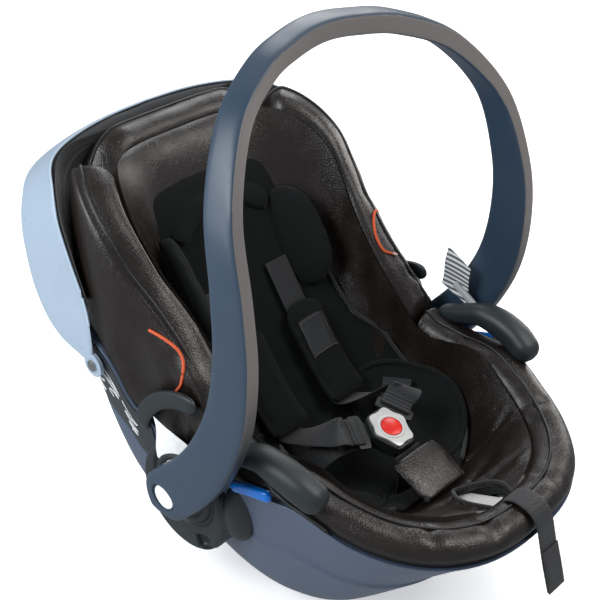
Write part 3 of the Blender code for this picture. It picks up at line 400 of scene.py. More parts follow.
def outline_solid(name, outline, z0, z1, axes, bevel=0.0, segments=2):
    """An outline in a plane, extruded along that plane's normal, its edges rounded."""
    work = bmesh.new()
    rows = [[work.verts.new((x, y, z)) for x, y in outline] for z in (z0, z1)]
    work.faces.new(rows[0][::-1])
    work.faces.new(rows[1])
    for k in range(len(outline)):
        n = (k + 1) % len(outline)
        work.faces.new((rows[0][k], rows[0][n], rows[1][n], rows[1][k]))
    if bevel:
        rims = [e for e in work.edges if abs(e.verts[0].co.z - e.verts[1].co.z) < 1e-9]
        bmesh.ops.bevel(work, geom=rims, offset=bevel, segments=segments, profile=0.5,
                        affect='EDGES')
    bmesh.ops.transform(work, matrix=axes, verts=work.verts)
    return mesh_object(name, work)


def cut(target, tool, operation='DIFFERENCE', solver='EXACT'):
    """A Boolean applied at once; the tool is used up."""
    step = target.modifiers.new("cut", 'BOOLEAN')
    step.operation = operation
    step.solver = solver
    step.object = tool
    apply_modifiers(target)
    bpy.data.objects.remove(tool)
    return target


def apply_modifiers(placed):
    bpy.context.view_layer.update()
    seen = placed.evaluated_get(bpy.context.evaluated_depsgraph_get())
    baked = bpy.data.meshes.new_from_object(seen)
    placed.modifiers.clear()
    placed.data = baked
    return placed


def relief(placed, height):
    """Move each point of a mesh along its normal by height(point, normal)."""
    mesh = placed.data
    moves = [height(v.co, v.normal) for v in mesh.vertices]
    normals = [v.normal.copy() for v in mesh.vertices]
    for v, n, move in zip(mesh.vertices, normals, moves):
        v.co = v.co + n * move
    mesh.update()
    return placed


def crease(point, start, end, width, depth, bulge=0.45):
    """A sewn or pressed crease between two points: a groove with a soft swelling beside it."""
    along = end - start
    t = min(1.0, max(0.0, (point - start).dot(along) / along.length_squared))
    away = (point - (start + along * t)).length
    fade = 1.0 if 0.0 < t < 1.0 else 0.8
    groove = -depth * math.exp(-(away / width)**2)
    swell = bulge * depth * math.exp(-((away - 2.2 * width) / (1.3 * width))**2)
    return (groove + swell) * fade


def ripple(point, scale, amount, seed=0.0):
    """Gentle unevenness of soft goods."""
    return amount * noise.noise(point * scale + Vector((seed, seed * 1.7, seed * 0.3)))


def piece(placed, body, finish, nodes=(), smooth=40.0):
    """Give a finished mesh its material, body and the CAD nodes it stands for."""
    placed.data.materials.clear()
    placed.data.materials.append(finish)
    placed.data.shade_smooth()
    placed.data.set_sharp_from_angle(angle=math.radians(smooth))
    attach(placed, body)
    if nodes:
        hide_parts(*nodes)
    return placed


# ---------------------------------------------------------------- materials
def wave(nodes, links, coordinates, direction, period, distortion=0.0):
    """Sine bands of one period in metres along an axis of object space."""
    bands = nodes.new("ShaderNodeTexWave")
    bands.bands_direction = direction
    bands.wave_profile = 'SIN'
    bands.inputs["Scale"].default_value = 2 * math.pi / (20 * period)
    bands.inputs["Distortion"].default_value = distortion
    bands.inputs["Detail"].default_value = 1.0
    links.new(coordinates, bands.inputs["Vector"])
    return bands.outputs["Fac"]


def arithmetic(nodes, links, operation, first, second):
    step = nodes.new("ShaderNodeMath")
    step.operation = operation
    for socket, value in zip(step.inputs, (first, second)):
        if isinstance(value, (int, float)):
            socket.default_value = value
        else:
            links.new(value, socket)
    return step.outputs[0]


def speckle(nodes, links, coordinates, size, detail=3.0):
    """Noise whose lumps are about size metres across."""
    cloud = nodes.new("ShaderNodeTexNoise")
    cloud.inputs["Scale"].default_value = 1.0 / size
    cloud.inputs["Detail"].default_value = detail
    cloud.inputs["Roughness"].default_value = 0.55
    links.new(coordinates, cloud.inputs["Vector"])
    return cloud.outputs["Fac"]


def pebbles(nodes, links, coordinates, size):
    """Leather grain: rounded cells parted by fine valleys."""
    cells = nodes.new("ShaderNodeTexVoronoi")
    cells.feature = 'DISTANCE_TO_EDGE'
    cells.inputs["Scale"].default_value = 1.0 / size
    bend = speckle(nodes, links, coordinates, size * 4, 1.0)
    shift = nodes.new("ShaderNodeVectorMath")
    shift.operation = 'MULTIPLY_ADD'
    links.new(bend, shift.inputs[0])
    shift.inputs[1].default_value = (size * 1.2, -size * 0.7, size * 0.9)
    links.new(coordinates, shift.inputs[2])
    links.new(shift.outputs[0], cells.inputs["Vector"])
    domed = nodes.new("ShaderNodeMapRange")
    domed.interpolation_type = 'SMOOTHSTEP'
    domed.inputs["From Max"].default_value = 0.28
    links.new(cells.outputs["Distance"], domed.inputs["Value"])
    return domed.outputs[0]


def grain_height(nodes, links, coordinates, kind, size):
    """The bump pattern of a material, from 0 to 1."""
    if kind == "pebble":
        fine = speckle(nodes, links, coordinates, size * 0.3)
        cells = pebbles(nodes, links, coordinates, size)
        broad = speckle(nodes, links, coordinates, size * 9, 2.0)
        cells = arithmetic(nodes, links, 'MULTIPLY', cells,
                           arithmetic(nodes, links, 'ADD', broad, 0.35))
        return arithmetic(nodes, links, 'ADD', cells,
                          arithmetic(nodes, links, 'MULTIPLY', fine, 0.25))
    if kind == "knit":
        rows = wave(nodes, links, coordinates, 'X', size, 1.0)
        courses = wave(nodes, links, coordinates, 'DIAGONAL', size * 0.8, 1.2)
        return arithmetic(nodes, links, 'MULTIPLY', rows, courses)
    if kind == "weave":
        warp = wave(nodes, links, coordinates, 'DIAGONAL', size)
        weft = wave(nodes, links, coordinates, 'X', size * 1.3)
        return arithmetic(nodes, links, 'ADD', arithmetic(nodes, links, 'MULTIPLY', warp, 0.7),
                          arithmetic(nodes, links, 'MULTIPLY', weft, 0.5))
    return speckle(nodes, links, coordinates, size)


def surface(name, colour, rough, kind="noise", size=0.0012, depth=0.00004, spread=0.12,
            rough_spread=0.06, patch=0.05, metal=0.0, **sockets):
    """A Principled material: its colour, roughness and bump vary with patterns in metres.

    spread is how far the colour strays either way, over patches about patch metres across,
    and rough_spread does the same for roughness. Other sockets are set by name.
    """
    made = bpy.data.materials.new(name)
    made.use_nodes = True
    nodes, links = made.node_tree.nodes, made.node_tree.links
    shader = nodes["Principled BSDF"]
    coordinates = nodes.new("ShaderNodeTexCoord").outputs["Object"]
    height = grain_height(nodes, links, coordinates, kind, size)
    patches = speckle(nodes, links, coordinates, patch, 4.0)

    tint = nodes.new("ShaderNodeValToRGB")
    low, high = tint.color_ramp.elements
    low.position, high.position = 0.28, 0.72
    low.color = (*[c * (1 - spread) for c in colour], 1)
    high.color = (*[min(1.0, c * (1 + spread)) for c in colour], 1)
    mixed = arithmetic(nodes, links, 'ADD', arithmetic(nodes, links, 'MULTIPLY', patches, 0.6),
                       arithmetic(nodes, links, 'MULTIPLY', height, 0.4))
    links.new(mixed, tint.inputs["Fac"])
    links.new(tint.outputs["Color"], shader.inputs["Base Color"])

    gloss = nodes.new("ShaderNodeMapRange")
    gloss.inputs["From Min"].default_value = 0.25
    gloss.inputs["From Max"].default_value = 0.75
    gloss.inputs["To Min"].default_value = rough - rough_spread
    gloss.inputs["To Max"].default_value = min(1.0, rough + rough_spread)
    links.new(patches, gloss.inputs["Value"])
    links.new(gloss.outputs[0], shader.inputs["Roughness"])

    bump = nodes.new("ShaderNodeBump")
    bump.inputs["Distance"].default_value = depth
    links.new(height, bump.inputs["Height"])
    links.new(bump.outputs["Normal"], shader.inputs["Normal"])

    shader.inputs["Metallic"].default_value = metal
    for socket, value in sockets.items():
        shader.inputs[socket.replace("_", " ")].default_value = value
    return made


def overlay(made, value, least, most, second):
    """Lay a second colour over a material's own as value goes from least to most."""
    nodes, links = made.node_tree.nodes, made.node_tree.links
    shader = nodes["Principled BSDF"]
    tint = shader.inputs["Base Color"].links[0].from_socket
    share = nodes.new("ShaderNodeMapRange")
    share.inputs["From Min"].default_value = least
    share.inputs["From Max"].default_value = most
    links.new(value, share.inputs["Value"])
    mix = nodes.new("ShaderNodeMix")
    mix.data_type = 'RGBA'
    links.new(share.outputs[0], mix.inputs["Factor"])
    links.new(tint, mix.inputs["A"])
    mix.inputs["B"].default_value = (*second, 1)
    links.new(mix.outputs["Result"], shader.inputs["Base Color"])
    return made


def striped(name, pale, dark, period):
    """A woven label: pale cloth crossed by dark bars."""
    made = surface(name, pale, 0.8, "weave", 0.0009, 0.00008, 0.05)
    nodes, links = made.node_tree.nodes, made.node_tree.links
    coordinates = nodes.new("ShaderNodeTexCoord").outputs["Object"]
    return overlay(made, wave(nodes, links, coordinates, 'Z', period), 0.50, 0.56, dark)


def deepened(made, low, high, dark):
    """The material with its colour going over to dark from height high down to height low."""
    nodes, links = made.node_tree.nodes, made.node_tree.links
    axes = nodes.new("ShaderNodeSeparateXYZ")
    links.new(nodes.new("ShaderNodeTexCoord").outputs["Object"], axes.inputs[0])
    return overlay(made, arithmetic(nodes, links, 'MULTIPLY', axes.outputs["Z"], -1.0),
                   -high, -low, dark)


HANDLE_BLUE = surface("handle_blue", (0.0275, 0.050, 0.082), 0.38, size=0.0009, depth=0.00002,
                      spread=0.05)
# Handle front: its own dark slate with a painted reflection of the floor, brown-grey, laid over
# it above the fade heights.
HANDLE_FRONT_PAINTED_REFLECTION = deepened(surface("handle_front_painted_reflection", (0.170, 0.155, 0.150), 0.36, size=0.0009,
                                depth=0.00002, spread=0.05), *PAINTED_REFLECTION_FADE,
                        (0.032, 0.037, 0.042))
SHELL_BLUE = surface("shell_blue", (0.062, 0.086, 0.134), 0.44, size=0.0009, depth=0.00003,
                     spread=0.06)
SHELL_DARK = surface("shell_dark", (0.030, 0.036, 0.042), 0.55, size=0.0010, depth=0.00005)
VISOR_BLUE = surface("visor_blue", (0.300, 0.378, 0.468), 0.32, size=0.0008, depth=0.00002,
                     spread=0.04)
VISOR_RIM = surface("visor_rim", (0.42, 0.52, 0.62), 0.40, size=0.0008, depth=0.00002,
                    spread=0.04)
CHARCOAL = surface("charcoal", (0.017, 0.023, 0.026), 0.46, size=0.0009, depth=0.00005,
                   spread=0.08)
LEATHER = surface("leatherette", (0.0115, 0.0082, 0.0064), 0.31, "pebble", 0.0027, 0.00014,
                  0.25, 0.07, patch=0.03, Specular_IOR_Level=0.55)
PIPING = surface("leather_piping", (0.008, 0.0065, 0.006), 0.32, "pebble", 0.0013, 0.00007, 0.2)
JERSEY = surface("knit_black", (0.0060, 0.0072, 0.0075), 0.93, "knit", 0.0009, 0.00015, 0.25,
                 0.04, Sheen_Weight=0.06, Sheen_Roughness=0.45, Specular_IOR_Level=0.25)
BINDING = surface("binding_black", (0.010, 0.011, 0.012), 0.85, "weave", 0.0009, 0.0001, 0.2,
                  0.05, Sheen_Weight=0.2)
CANOPY = surface("canopy_cloth", (0.011, 0.012, 0.014), 0.80, "weave", 0.0007, 0.00008, 0.2,
                 0.06, Sheen_Weight=0.25)
WEBBING = surface("webbing", (0.014, 0.015, 0.017), 0.62, "weave", 0.0013, 0.00025, 0.25, 0.06,
                  Sheen_Weight=0.15)
THREAD_DARK = surface("thread_dark", (0.020, 0.019, 0.019), 0.6, size=0.0004, depth=0.00003)
THREAD_PALE = surface("thread_pale", (0.23, 0.20, 0.17), 0.6, size=0.0004, depth=0.00003)
LOOP_CORD = surface("loop_cord", (0.62, 0.095, 0.028), 0.75, "weave", 0.0011, 0.0002, 0.2)
FRAYED = surface("frayed_tip", (0.72, 0.55, 0.42), 0.85, size=0.0008, depth=0.0002)
SILVER = surface("plate_silver", (0.66, 0.66, 0.65), 0.34, size=0.0007, depth=0.00002,
                 spread=0.05, metal=0.55)
RED = surface("button_red", (0.80, 0.020, 0.012), 0.30, size=0.0008, depth=0.00002, spread=0.06)
BLACK = surface("plastic_black", (0.012, 0.013, 0.014), 0.40, size=0.0009, depth=0.00004)
PALE = surface("plate_pale", (0.62, 0.62, 0.60), 0.38, size=0.0009, depth=0.00003, spread=0.05)
WHITE = surface("badge_white", (0.80, 0.81, 0.80), 0.30, size=0.0009, depth=0.00001,
                spread=0.03)
MARKER = surface("marker_blue", (0.0, 0.120, 0.480), 0.18, size=0.0010, depth=0.00002,
                 spread=0.08, Coat_Weight=0.5, Coat_Roughness=0.08)
STEEL = surface("steel", (0.50, 0.50, 0.49), 0.30, size=0.0006, depth=0.00003, metal=1.0)
ACETAL = surface("acetal", (0.58, 0.57, 0.52), 0.45, size=0.0010, depth=0.00003)
RUBBER = surface("rubber", (0.018, 0.018, 0.019), 0.80, size=0.0009, depth=0.0001)
FOAM = surface("foam_black", (0.020, 0.021, 0.022), 0.90, "pebble", 0.0030, 0.0003)
TAG_CLOTH = surface("tag_cloth", (0.78, 0.79, 0.80), 0.75, "weave", 0.0008, 0.00008, 0.05)
TAG_STRIPED = striped("tag_striped", (0.74, 0.75, 0.76), (0.10, 0.11, 0.13), 0.0060)
PATCH_CLOTH = surface("patch_cloth", (0.020, 0.022, 0.026), 0.7, "weave", 0.0008, 0.0001, 0.15)
PRINT_WHITE = surface("print_white", (0.72, 0.74, 0.75), 0.5, size=0.0008, depth=0.00002)
LIGHT_TRIM = surface("light_trim", (0.44, 0.47, 0.49), 0.42, size=0.0009, depth=0.00003)


# ---------------------------------------------------------------- camera, floor and lights
def make_camera():
    turn, tilt, roll = -0.83356, 0.60933, 0.05634
    back = Vector((math.sin(turn) * math.cos(tilt), -math.cos(turn) * math.cos(tilt),
                   math.sin(tilt)))
    right = Vector((math.cos(turn), math.sin(turn), 0.0))
    up = back.cross(right)
    columns = (math.cos(roll) * right + math.sin(roll) * up,
               -math.sin(roll) * right + math.cos(roll) * up, back)
    lens = bpy.data.cameras.new("camera")
    lens.sensor_width = 36.0
    lens.lens = 71.9
    camera = bpy.data.objects.new("camera", lens)
    camera.matrix_world = (Matrix.Translation((-0.813, -0.700, 1.051))
                           @ Matrix(columns).transposed().to_4x4())
    bpy.context.scene.collection.objects.link(camera)
    bpy.context.scene.camera = camera


def add_area(name, place, aim, size, power, colour=(1, 1, 1)):
    data = bpy.data.lights.new(name, 'AREA')
    data.shape = 'RECTANGLE'
    data.size, data.size_y = size
    data.energy = power
    data.color = colour
    lamp = bpy.data.objects.new(name, data)
    lamp.location = place
    lamp.rotation_euler = (Vector(aim) - Vector(place)).to_track_quat('-Z', 'Y').to_euler()
    bpy.context.scene.collection.objects.link(lamp)


def make_studio():
    world = bpy.data.worlds.new("studio")
    world.use_nodes = True
    sky = world.node_tree.nodes["Background"]
    sky.inputs["Color"].default_value = (0.92, 0.95, 1.0, 1)
    sky.inputs["Strength"].default_value = 0.34
    bpy.context.scene.world = world
    bpy.context.scene.view_settings.view_transform = 'Standard'
    work = bmesh.new()
    bmesh.ops.create_circle(work, cap_ends=True, segments=96, radius=9.0)
    bmesh.ops.translate(work, vec=(0, 0, -0.0005), verts=work.verts)
    floor = mesh_object("floor", work)
    pale = surface("floor", (0.90, 0.90, 0.90), 0.85, size=0.01, depth=0.00005, spread=0.01,
                   patch=0.5, Emission_Color=(1.0, 1.0, 1.0, 1.0), Emission_Strength=0.45)
    floor.data.materials.append(pale)
    floor.visible_glossy = False
    add_area("window", (-1.45, 0.65, 1.5), (0, 0.02, 0.25), (1.3, 0.9), 30, (0.95, 0.98, 1.0))
    add_area("key", (0.8, -0.9, 2.1), (0, 0, 0.2), (1.1, 1.1), 22, (1.0, 0.98, 0.95))
    add_area("rim", (1.4, 1.2, 1.5), (0, 0.1, 0.35), (1.0, 1.0), 14)
    add_area("left", (-1.6, 0.9, 0.6), (0, 0.1, 0.3), (0.7, 0.7), 7, (0.90, 0.96, 1.0))
    add_area("side", (1.7, 0.1, 0.55), (0, 0, 0.2), (0.7, 1.0), 9, (1.0, 0.97, 0.94))


make_camera()
make_studio()


# ---------------------------------------------------------------- shell, liner and base
def make_shell():
    """The moulded bucket: a smooth bowl with a step round it and a small bead at its rim."""
    angles = even_angles(176)
    shares = [0.0, 0.012, 0.035, 0.07, 0.12, 0.18, 0.25, 0.33, 0.42, 0.50, 0.55, 0.57, 0.578,
              0.583, 0.588, 0.593, 0.598, 0.603, 0.609, 0.62, 0.66, 0.72, 0.78, 0.84, 0.90,
              0.95, 0.975, 0.982, 0.987, 0.994, 1.0]
    outer = []
    for share in shares:
        bead = 0.0012 * smooth_step(0.978, 0.988, share) - 0.0010 * smooth_step(0.992, 1, share)
        outer.append([shell_point(a, share, 0.0, bead) for a in angles])
    inner = [[shell_point(a, share, SHELL_WALL) for a in angles]
             for share in shares[::2] + [0.997]]
    shell = bowl_solid("outer_shell", outer, inner)
    for side, name in SIDES:
        profile = [(0.150, 0.0), (0.150, 0.0301), (0.230, 0.0301), (0.230, 0.0)]
        tool = turned("window_" + name, [(x, max(r, 1e-5)) for x, r in profile], PIVOT, side)
        cut(shell, tool)
    for y in (-0.088, 0.104):
        cut(shell, box_solid("notch", (0.086, 0.024, 0.030),
                             Matrix.Translation((0, y, SHELL_BOTTOM)), 0.001))
    piece(shell, "root", SHELL_BLUE, ["outer_shell"], 32)

    outer = [[lining_point(a, share, 0.026) for a in angles[::2]]
             for share in (0.2, 0.4, 0.6, 0.75, 0.86, 0.93, 0.97)]
    inner = [[lining_point(a, share, 0.0106) for a in angles[::2]]
             for share in (0.2, 0.4, 0.6, 0.75, 0.86, 0.93, 0.97)]
    liner = bowl_solid("foam_liner_looks", outer, inner)
    piece(liner, "root", FOAM, ["foam_liner"])


def hub_piece(side, name):
    """The moulded boss that carries the handle, blended into one skin by a remesh."""
    profile = [(0.150, 1e-5), (0.150, 0.064), (0.1855, HUB_RADIUS), (0.1895, 0.0648),
               (HUB_FACE, 0.0615), (HUB_FACE, 1e-5)]
    hub = turned("hub_" + name, profile, HUB_CENTRE, side, 96)
    knuckle = bmesh.new()
    bmesh.ops.create_uvsphere(knuckle, u_segments=40, v_segments=24, radius=1.0)
    stretch = (Matrix.Translation((side * 0.1700, -0.052, 0.142))
               @ Matrix.Diagonal((0.0218, 0.0205, 0.044, 1.0)))
    bmesh.ops.transform(knuckle, matrix=stretch, verts=knuckle.verts)
    cut(hub, mesh_object("knuckle", knuckle), 'UNION')
    collar = [(0.178, 0.0415), (0.1935, 0.0405), (0.1950, 0.0390), (0.1950, 0.0365),
              (0.1935, 0.0350), (0.178, 0.0345)]
    groove = [(0.1875, 0.0480), (0.1960, 0.0490), (0.1960, 0.0425), (0.1875, 0.0430)]
    low = Vector((0.0, PIVOT.y, PIVOT.z - 0.004))
    cut(hub, turned_ring("groove", groove, low, side))
    cut(hub, turned_ring("collar", collar, low, side), 'UNION')
    pocket = box_solid("pocket", (0.020, 0.024, 0.018),
                       Matrix.Translation((side * 0.1930, -0.014, 0.077))
                       @ Matrix.Rotation(math.radians(-24), 4, 'X'), 0.004)
    cut(hub, pocket)
    skin = hub.modifiers.new("skin", 'REMESH')
    skin.mode = 'VOXEL'
    skin.voxel_size = 0.0016
    soften = hub.modifiers.new("soften", 'SMOOTH')
    soften.iterations = 5
    soften.factor = 0.5
    apply_modifiers(hub)
    socket = [(SOCKET_FLOOR, 1e-5), (SOCKET_FLOOR, 0.0262), (0.202, 0.0262), (0.202, 1e-5)]
    cut(hub, turned("socket", socket, PIVOT, side))
    return piece(hub, "root", CHARCOAL, ["hub_" + name], 35)


def turned_ring(name, profile, centre, side):
    """A ring turned about an axis along X, from a closed profile of (x, radius)."""
    rings = []
    for angle in turns_of(96):
        rings.append([Vector((side * x, centre.y + r * math.cos(angle),
                              centre.z + r * math.sin(angle))) for x, r in profile])
    return ring_solid(name, rings, closed=True)


# ---------------------------------------------------------------- handle and buttons
def handle_stations():
    """Centreline and section of the arch: (x, y, z, width, thickness), left pivot to right."""
    side = [(-0.2080, PIVOT.y, PIVOT.z, 0.062, 0.0260),
            (-0.2120, -0.017, 0.184, 0.059, 0.0240),
            (-0.2150, -0.052, 0.240, 0.055, 0.0215),
            (-0.2160, -0.076, 0.305, 0.052, 0.0190),
            (-0.2145, -0.081, 0.375, 0.048, 0.0180),
            (-0.2105, -0.070, 0.440, 0.043, 0.0165),
            (-0.1960, -0.043, 0.512, 0.035, 0.0170),
            (-0.1510, -0.008, 0.569, 0.030, 0.0195),
            (-0.0940, 0.018, 0.5945, 0.029, 0.0210),
            (-0.0450, 0.031, 0.603, 0.0295, 0.0212),
            (0.0, 0.035, 0.607, 0.030, 0.0212)]
    return smooth_path(side + [(-x, y, z, w, t) for x, y, z, w, t in side[-2::-1]], 9)


def handle_section(place, wide, outward, half_width, half_thick):
    """A rounded box whose outer face is crowned and whose front edge is crisp."""
    ring = []
    for k in range(56):
        angle = 2 * math.pi * (k + 0.5) / 56
        c, s = math.cos(angle), math.sin(angle)
        across = math.copysign(abs(c)**0.26, c)
        through = math.copysign(abs(s)**0.30, s)
        crown = 0.14 * across * across if through > 0 else 0.04 * across * across
        ring.append(place + wide * half_width * across
                    + outward * half_thick * through * (1 - crown))
    return ring


def make_handle():
    path = handle_stations()
    spots = []
    for k, station in enumerate(path):
        before, after = path[max(k - 1, 0)], path[min(k + 1, len(path) - 1)]
        tangent = (Vector(after[:3]) - Vector(before[:3])).normalized()
        outward = Vector((-tangent.z, 0.0, tangent.x))
        outward = (outward - tangent * outward.dot(tangent)).normalized()
        fuller = 0.0016 * smooth_step(0.17, 0.26, station[2])
        spots.append((Vector(station[:3]), tangent.cross(outward).normalized(), outward,
                      tangent, station[3], station[4] + fuller))
    rings = []
    turns = [math.radians(a) for a in (83, 74, 64, 54, 44, 34, 24, 14, 5)]
    for end, sign in ((0, -1), (-1, 1)):
        place, wide, outward, tangent, width, thick = spots[end]
        caps = [handle_section(place + tangent * sign * width / 2 * math.sin(a), wide, outward,
                               width / 2 * math.cos(a), thick / 2) for a in turns]
        if end == 0:
            rings += caps
            for place, wide, outward, tangent, width, thick in spots[1:-1]:
                rings.append(handle_section(place, wide, outward, width / 2, thick / 2))
        else:
            rings += caps[::-1]
    arch = ring_solid("handle_arch", rings)
    for side, name in SIDES:
        for profile in ([(0.185, 0.0262), (0.2005, 0.0262)],
                        [(0.2093, 0.0151), (0.2165, 0.0151), (0.2180, 0.0172), (0.235, 0.0172)],
                        [(0.199, 0.0047), (0.212, 0.0047)]):
            capped = [(profile[0][0], 1e-5), *profile, (profile[-1][0], 1e-5)]
            cut(arch, turned("bore_" + name, capped, PIVOT, side, 72))
    piece(arch, "handle", HANDLE_BLUE, ["handle_arch"], 32)
    arch.data.materials.append(HANDLE_FRONT_PAINTED_REFLECTION)
    # Front-facing faces above 0.235 m take the second material, whose brown-grey is a painted
    # reflection of the floor.
    for face in arch.data.polygons:
        spot = min(spots[::3], key=lambda one: (one[0] - face.center).length_squared)
        away = spot[1] if spot[1].y < 0 else -spot[1]
        if face.normal.dot(away) > 0.80 and face.center.z > 0.235:
            face.material_index = 1
    for side, name in SIDES:
        profile = [(0.1970, 1e-5), (0.1970, 0.0042), (0.2150, 0.0042), (0.2152, 0.0138),
                   (0.2160, 0.0145), (0.2182, 0.0145), (0.2188, 0.0141), (0.2188, 0.0128),
                   (0.2184, 0.0122), (0.2186, 0.0080), (0.2187, 1e-5)]
        badge = turned("handle_button_" + name, profile, PIVOT, side, 64)
        piece(badge, "button_" + name, WHITE, ["handle_button_" + name], 28)


# ---------------------------------------------------------------- visor and canopy
def visor_point(radius, x, degrees):
    angle = math.radians(degrees)
    return Vector((x, VISOR_PIVOT.y + radius * math.cos(angle),
                   VISOR_PIVOT.z + radius * math.sin(angle)))


def make_visor():
    half = smooth_path([(0.0131, 0.1980), (0.040, 0.1980), *VISOR_PROFILE[1:]], 6)
    stations = [(p[0], -p[1]) for p in half] + [(p[0], p[1]) for p in half[-2::-1]]
    rows = 20
    rings, brim = [], []
    for radius, x in stations:
        top, foot = read_table(VISOR_TOP, radius), read_table(VISOR_FOOT, radius)
        slope = min(1.0, max(0.0, (radius - 0.15) / 0.10))
        thin_x = math.copysign(VISOR_WALL * (1 - 0.6 * slope), x) if abs(x) > 1e-3 else 0.0
        thin_r = VISOR_WALL * slope
        outer, inner = [], []
        for k in range(rows + 1):
            t = k / rows
            edge = 0.45 * (1 - min(1.0, min(t, 1 - t) * rows / 1.5))**2
            outer.append(visor_point(radius - thin_r * edge, x - thin_x * edge,
                                     foot + (top - foot) * t))
            inner.append(visor_point(radius - thin_r * (1 - edge), x - thin_x * (1 - edge),
                                     foot + (top - foot) * t))
        rings.append(outer + inner[::-1])
        if radius > 0.05:
            brim.append(visor_point(radius - thin_r / 2, x - thin_x / 2, top))
    visor = ring_solid("canopy_visor", rings)
    for side, _ in SIDES:
        eye = [(0.1940, 1e-5), (0.1940, 0.0145), (0.1980, 0.0145), (0.1984, 0.0140),
               (0.1984, 1e-5)]
        cut(visor, turned("eye", eye, VISOR_PIVOT, side), 'UNION')
        hole = [(0.185, 1e-5), (0.185, 0.0044), (0.205, 0.0044), (0.205, 1e-5)]
        cut(visor, turned("hole", hole, VISOR_PIVOT, side))
    piece(visor, "visor", VISOR_BLUE, ["canopy_visor"], 32)
    lip = cord_mesh("visor_lip", brim, 0.0013, 10, (0, 0.5, 1))
    piece(lip, "visor", VISOR_RIM)


def make_canopy():
    """The folded canopy: one sheet, pleated inside the visor and tacked to the shell's rim."""
    pleats, rows, skirt = 5, 110, 30
    rim = []
    for angle in even_angles(720):
        place = plan_point(angle, 0.0014)
        rim.append(Vector((place.x, place.y, read_table(SHELL_RIM, rim_y(angle)) + 0.0030)))
    half = [p for p in smooth_path(VISOR_PROFILE[1:], 12) if p[0] > 0.070]
    stations = [(p[0], -p[1]) for p in half] + [(p[0], p[1]) for p in half[-2::-1]]
    lines = []
    for reach, x in stations:
        slope = min(1.0, max(0.0, (reach - 0.15) / 0.10))
        top, foot = read_table(VISOR_TOP, reach), read_table(VISOR_FOOT, reach)
        # The cloth runs past the visor's top edge: the black band there is partly canopy cloth
        # and partly painted shade.
        low, high = foot + 1.5, top + 2.0
        line = []
        for k in range(rows + 1):
            u = k / rows
            degrees = low + (high - low) * u
            ends = smooth_step(0.0, 0.04, u) * smooth_step(0.0, 0.04, 1 - u)
            fold = 0.5 - 0.5 * math.cos(2 * math.pi * pleats * u)
            degrees += 40 / (pleats * 9) * math.sin(2 * math.pi * pleats * u) * ends * slope
            flat = visor_point(reach, x, degrees)
            room = 0.0008 + 0.0115 * smooth_step(0.238, 0.262, flat.y) * slope**0.5
            inward = room * fold * ends
            inward += 0.010 * smooth_step(0.80, 1.0, u) * smooth_step(0.236, 0.250, reach)
            inward += 0.0012 * noise.noise(Vector((x * 26, u * 5, 2.0))) * ends * slope
            inward += VISOR_WALL + 0.0008
            line.append(visor_point(reach - inward * slope,
                                    x - math.copysign(inward * (1 - 0.6 * slope), x)
                                    * min(1.0, abs(x) / 0.02), degrees))
        # The skirt fills the band between the visor's top edge and the rim with black cloth,
        # partly canopy and partly painted shade.
        edge = line[-1]
        tack = edge.lerp(min(rim, key=lambda spot: (spot - edge).length_squared),
                         smooth_step(0.074, 0.100, reach))
        for k in range(1, skirt + 1):
            u = k / skirt
            slack = 0.0016 * math.sin(math.pi * u) * math.sin(2 * math.pi * (3 * u + 7 * x))
            line.append(edge.lerp(tack, u) + Vector((0.0, slack, slack)))
        lines.append(line)
    work = open_sheet(lines)
    area = sum(face.calc_area() for face in work.faces)
    canopy = mesh_object("canopy_fabric", work)
    canopy.data.materials.append(CANOPY)
    canopy.data.shade_smooth()
    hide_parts("canopy_fabric")
    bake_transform(canopy)


make_shell()
for SIDE, NAME in SIDES:
    hub_piece(SIDE, NAME)
make_handle()
make_visor()
make_canopy()


# ---------------------------------------------------------------- padded rim
RING_STEPS = 4               # points of a roll's section for each of its control points
PIPE_AT = 13                 # the section's point that the outer piping follows


def roll_section(angle, wing=0.0):
    """Section of the padded roll at one plan angle: a closed curve from its outer foot round."""
    y = rim_y(angle)
    crest = read_table(CREST, y)
    rim = read_table(SHELL_RIM, y) + 0.0020
    foam = foam_rim(y) + 0.0042
    high = crest - foam
    profile = [(0.0035, rim), (0.0002, rim + 0.40 * (crest - rim)),
               (0.0030, crest - 0.50 * high), (0.0105, crest - 0.12 * high), (0.0210, crest),
               (0.0325, crest - (0.12 - 0.04 * wing) * high), (0.0412, crest - 0.42 * high),
               (ROLL - 0.0010, foam + 0.08 * high), (0.0400, foam - 0.0015),
               (0.0130, foam - 0.0015), (0.0100, rim + 0.0005)]
    points = [(inset, z, 0.0) for inset, z in profile]
    ring = []
    for inset, z, _ in smooth_path(points, RING_STEPS, closed=True):
        place = plan_point(angle, max(0.0, inset))
        ring.append(Vector((place.x, place.y, z)))
    return ring


def roll_rings(stations, ends, wing=0.0, slopes=False):
    """Sections along a roll. Each of its ends, (reach, least), is domed over reach down to
    the share least of its section, or with slopes it comes down to the shell's rim instead."""
    sections = [roll_section(angle, wing) for angle in stations]
    middles = [sum(ring, Vector()) / len(ring) for ring in sections]
    travel = lengths_along(middles)
    rings = []
    for ring, middle, at in zip(sections, middles, travel):
        size = 1.0
        for (reach, least), away in zip(ends, (at, travel[-1] - at)):
            share = min(1.0, away / reach)
            grown = smooth_step(0.0, 1.0, share) if slopes else math.sqrt(1 - (1 - share)**2)
            size = min(size, least + (1 - least) * grown)
        foot = min(p.z for p in ring)
        if slopes:
            rings.append([Vector((*middle.lerp(p, 0.75 + 0.25 * size).xy,
                                  foot + (p.z - foot) * size)) for p in ring])
        else:
            seat = Vector((*middle.xy, foot * 0.35 + middle.z * 0.65))
            rings.append([seat + (p - seat) * size for p in ring])
    return rings


def angle_at(y, side):
    """The plan angle, on one side, whose rim point has this y."""
    low, high = (math.pi / 2, 3 * math.pi / 2) if side < 0 else (math.pi / 2, -math.pi / 2)
    for _ in range(40):
        middle = (low + high) / 2
        if rim_y(middle) > y:
            low = middle
        else:
            high = middle
    return (low + high) / 2


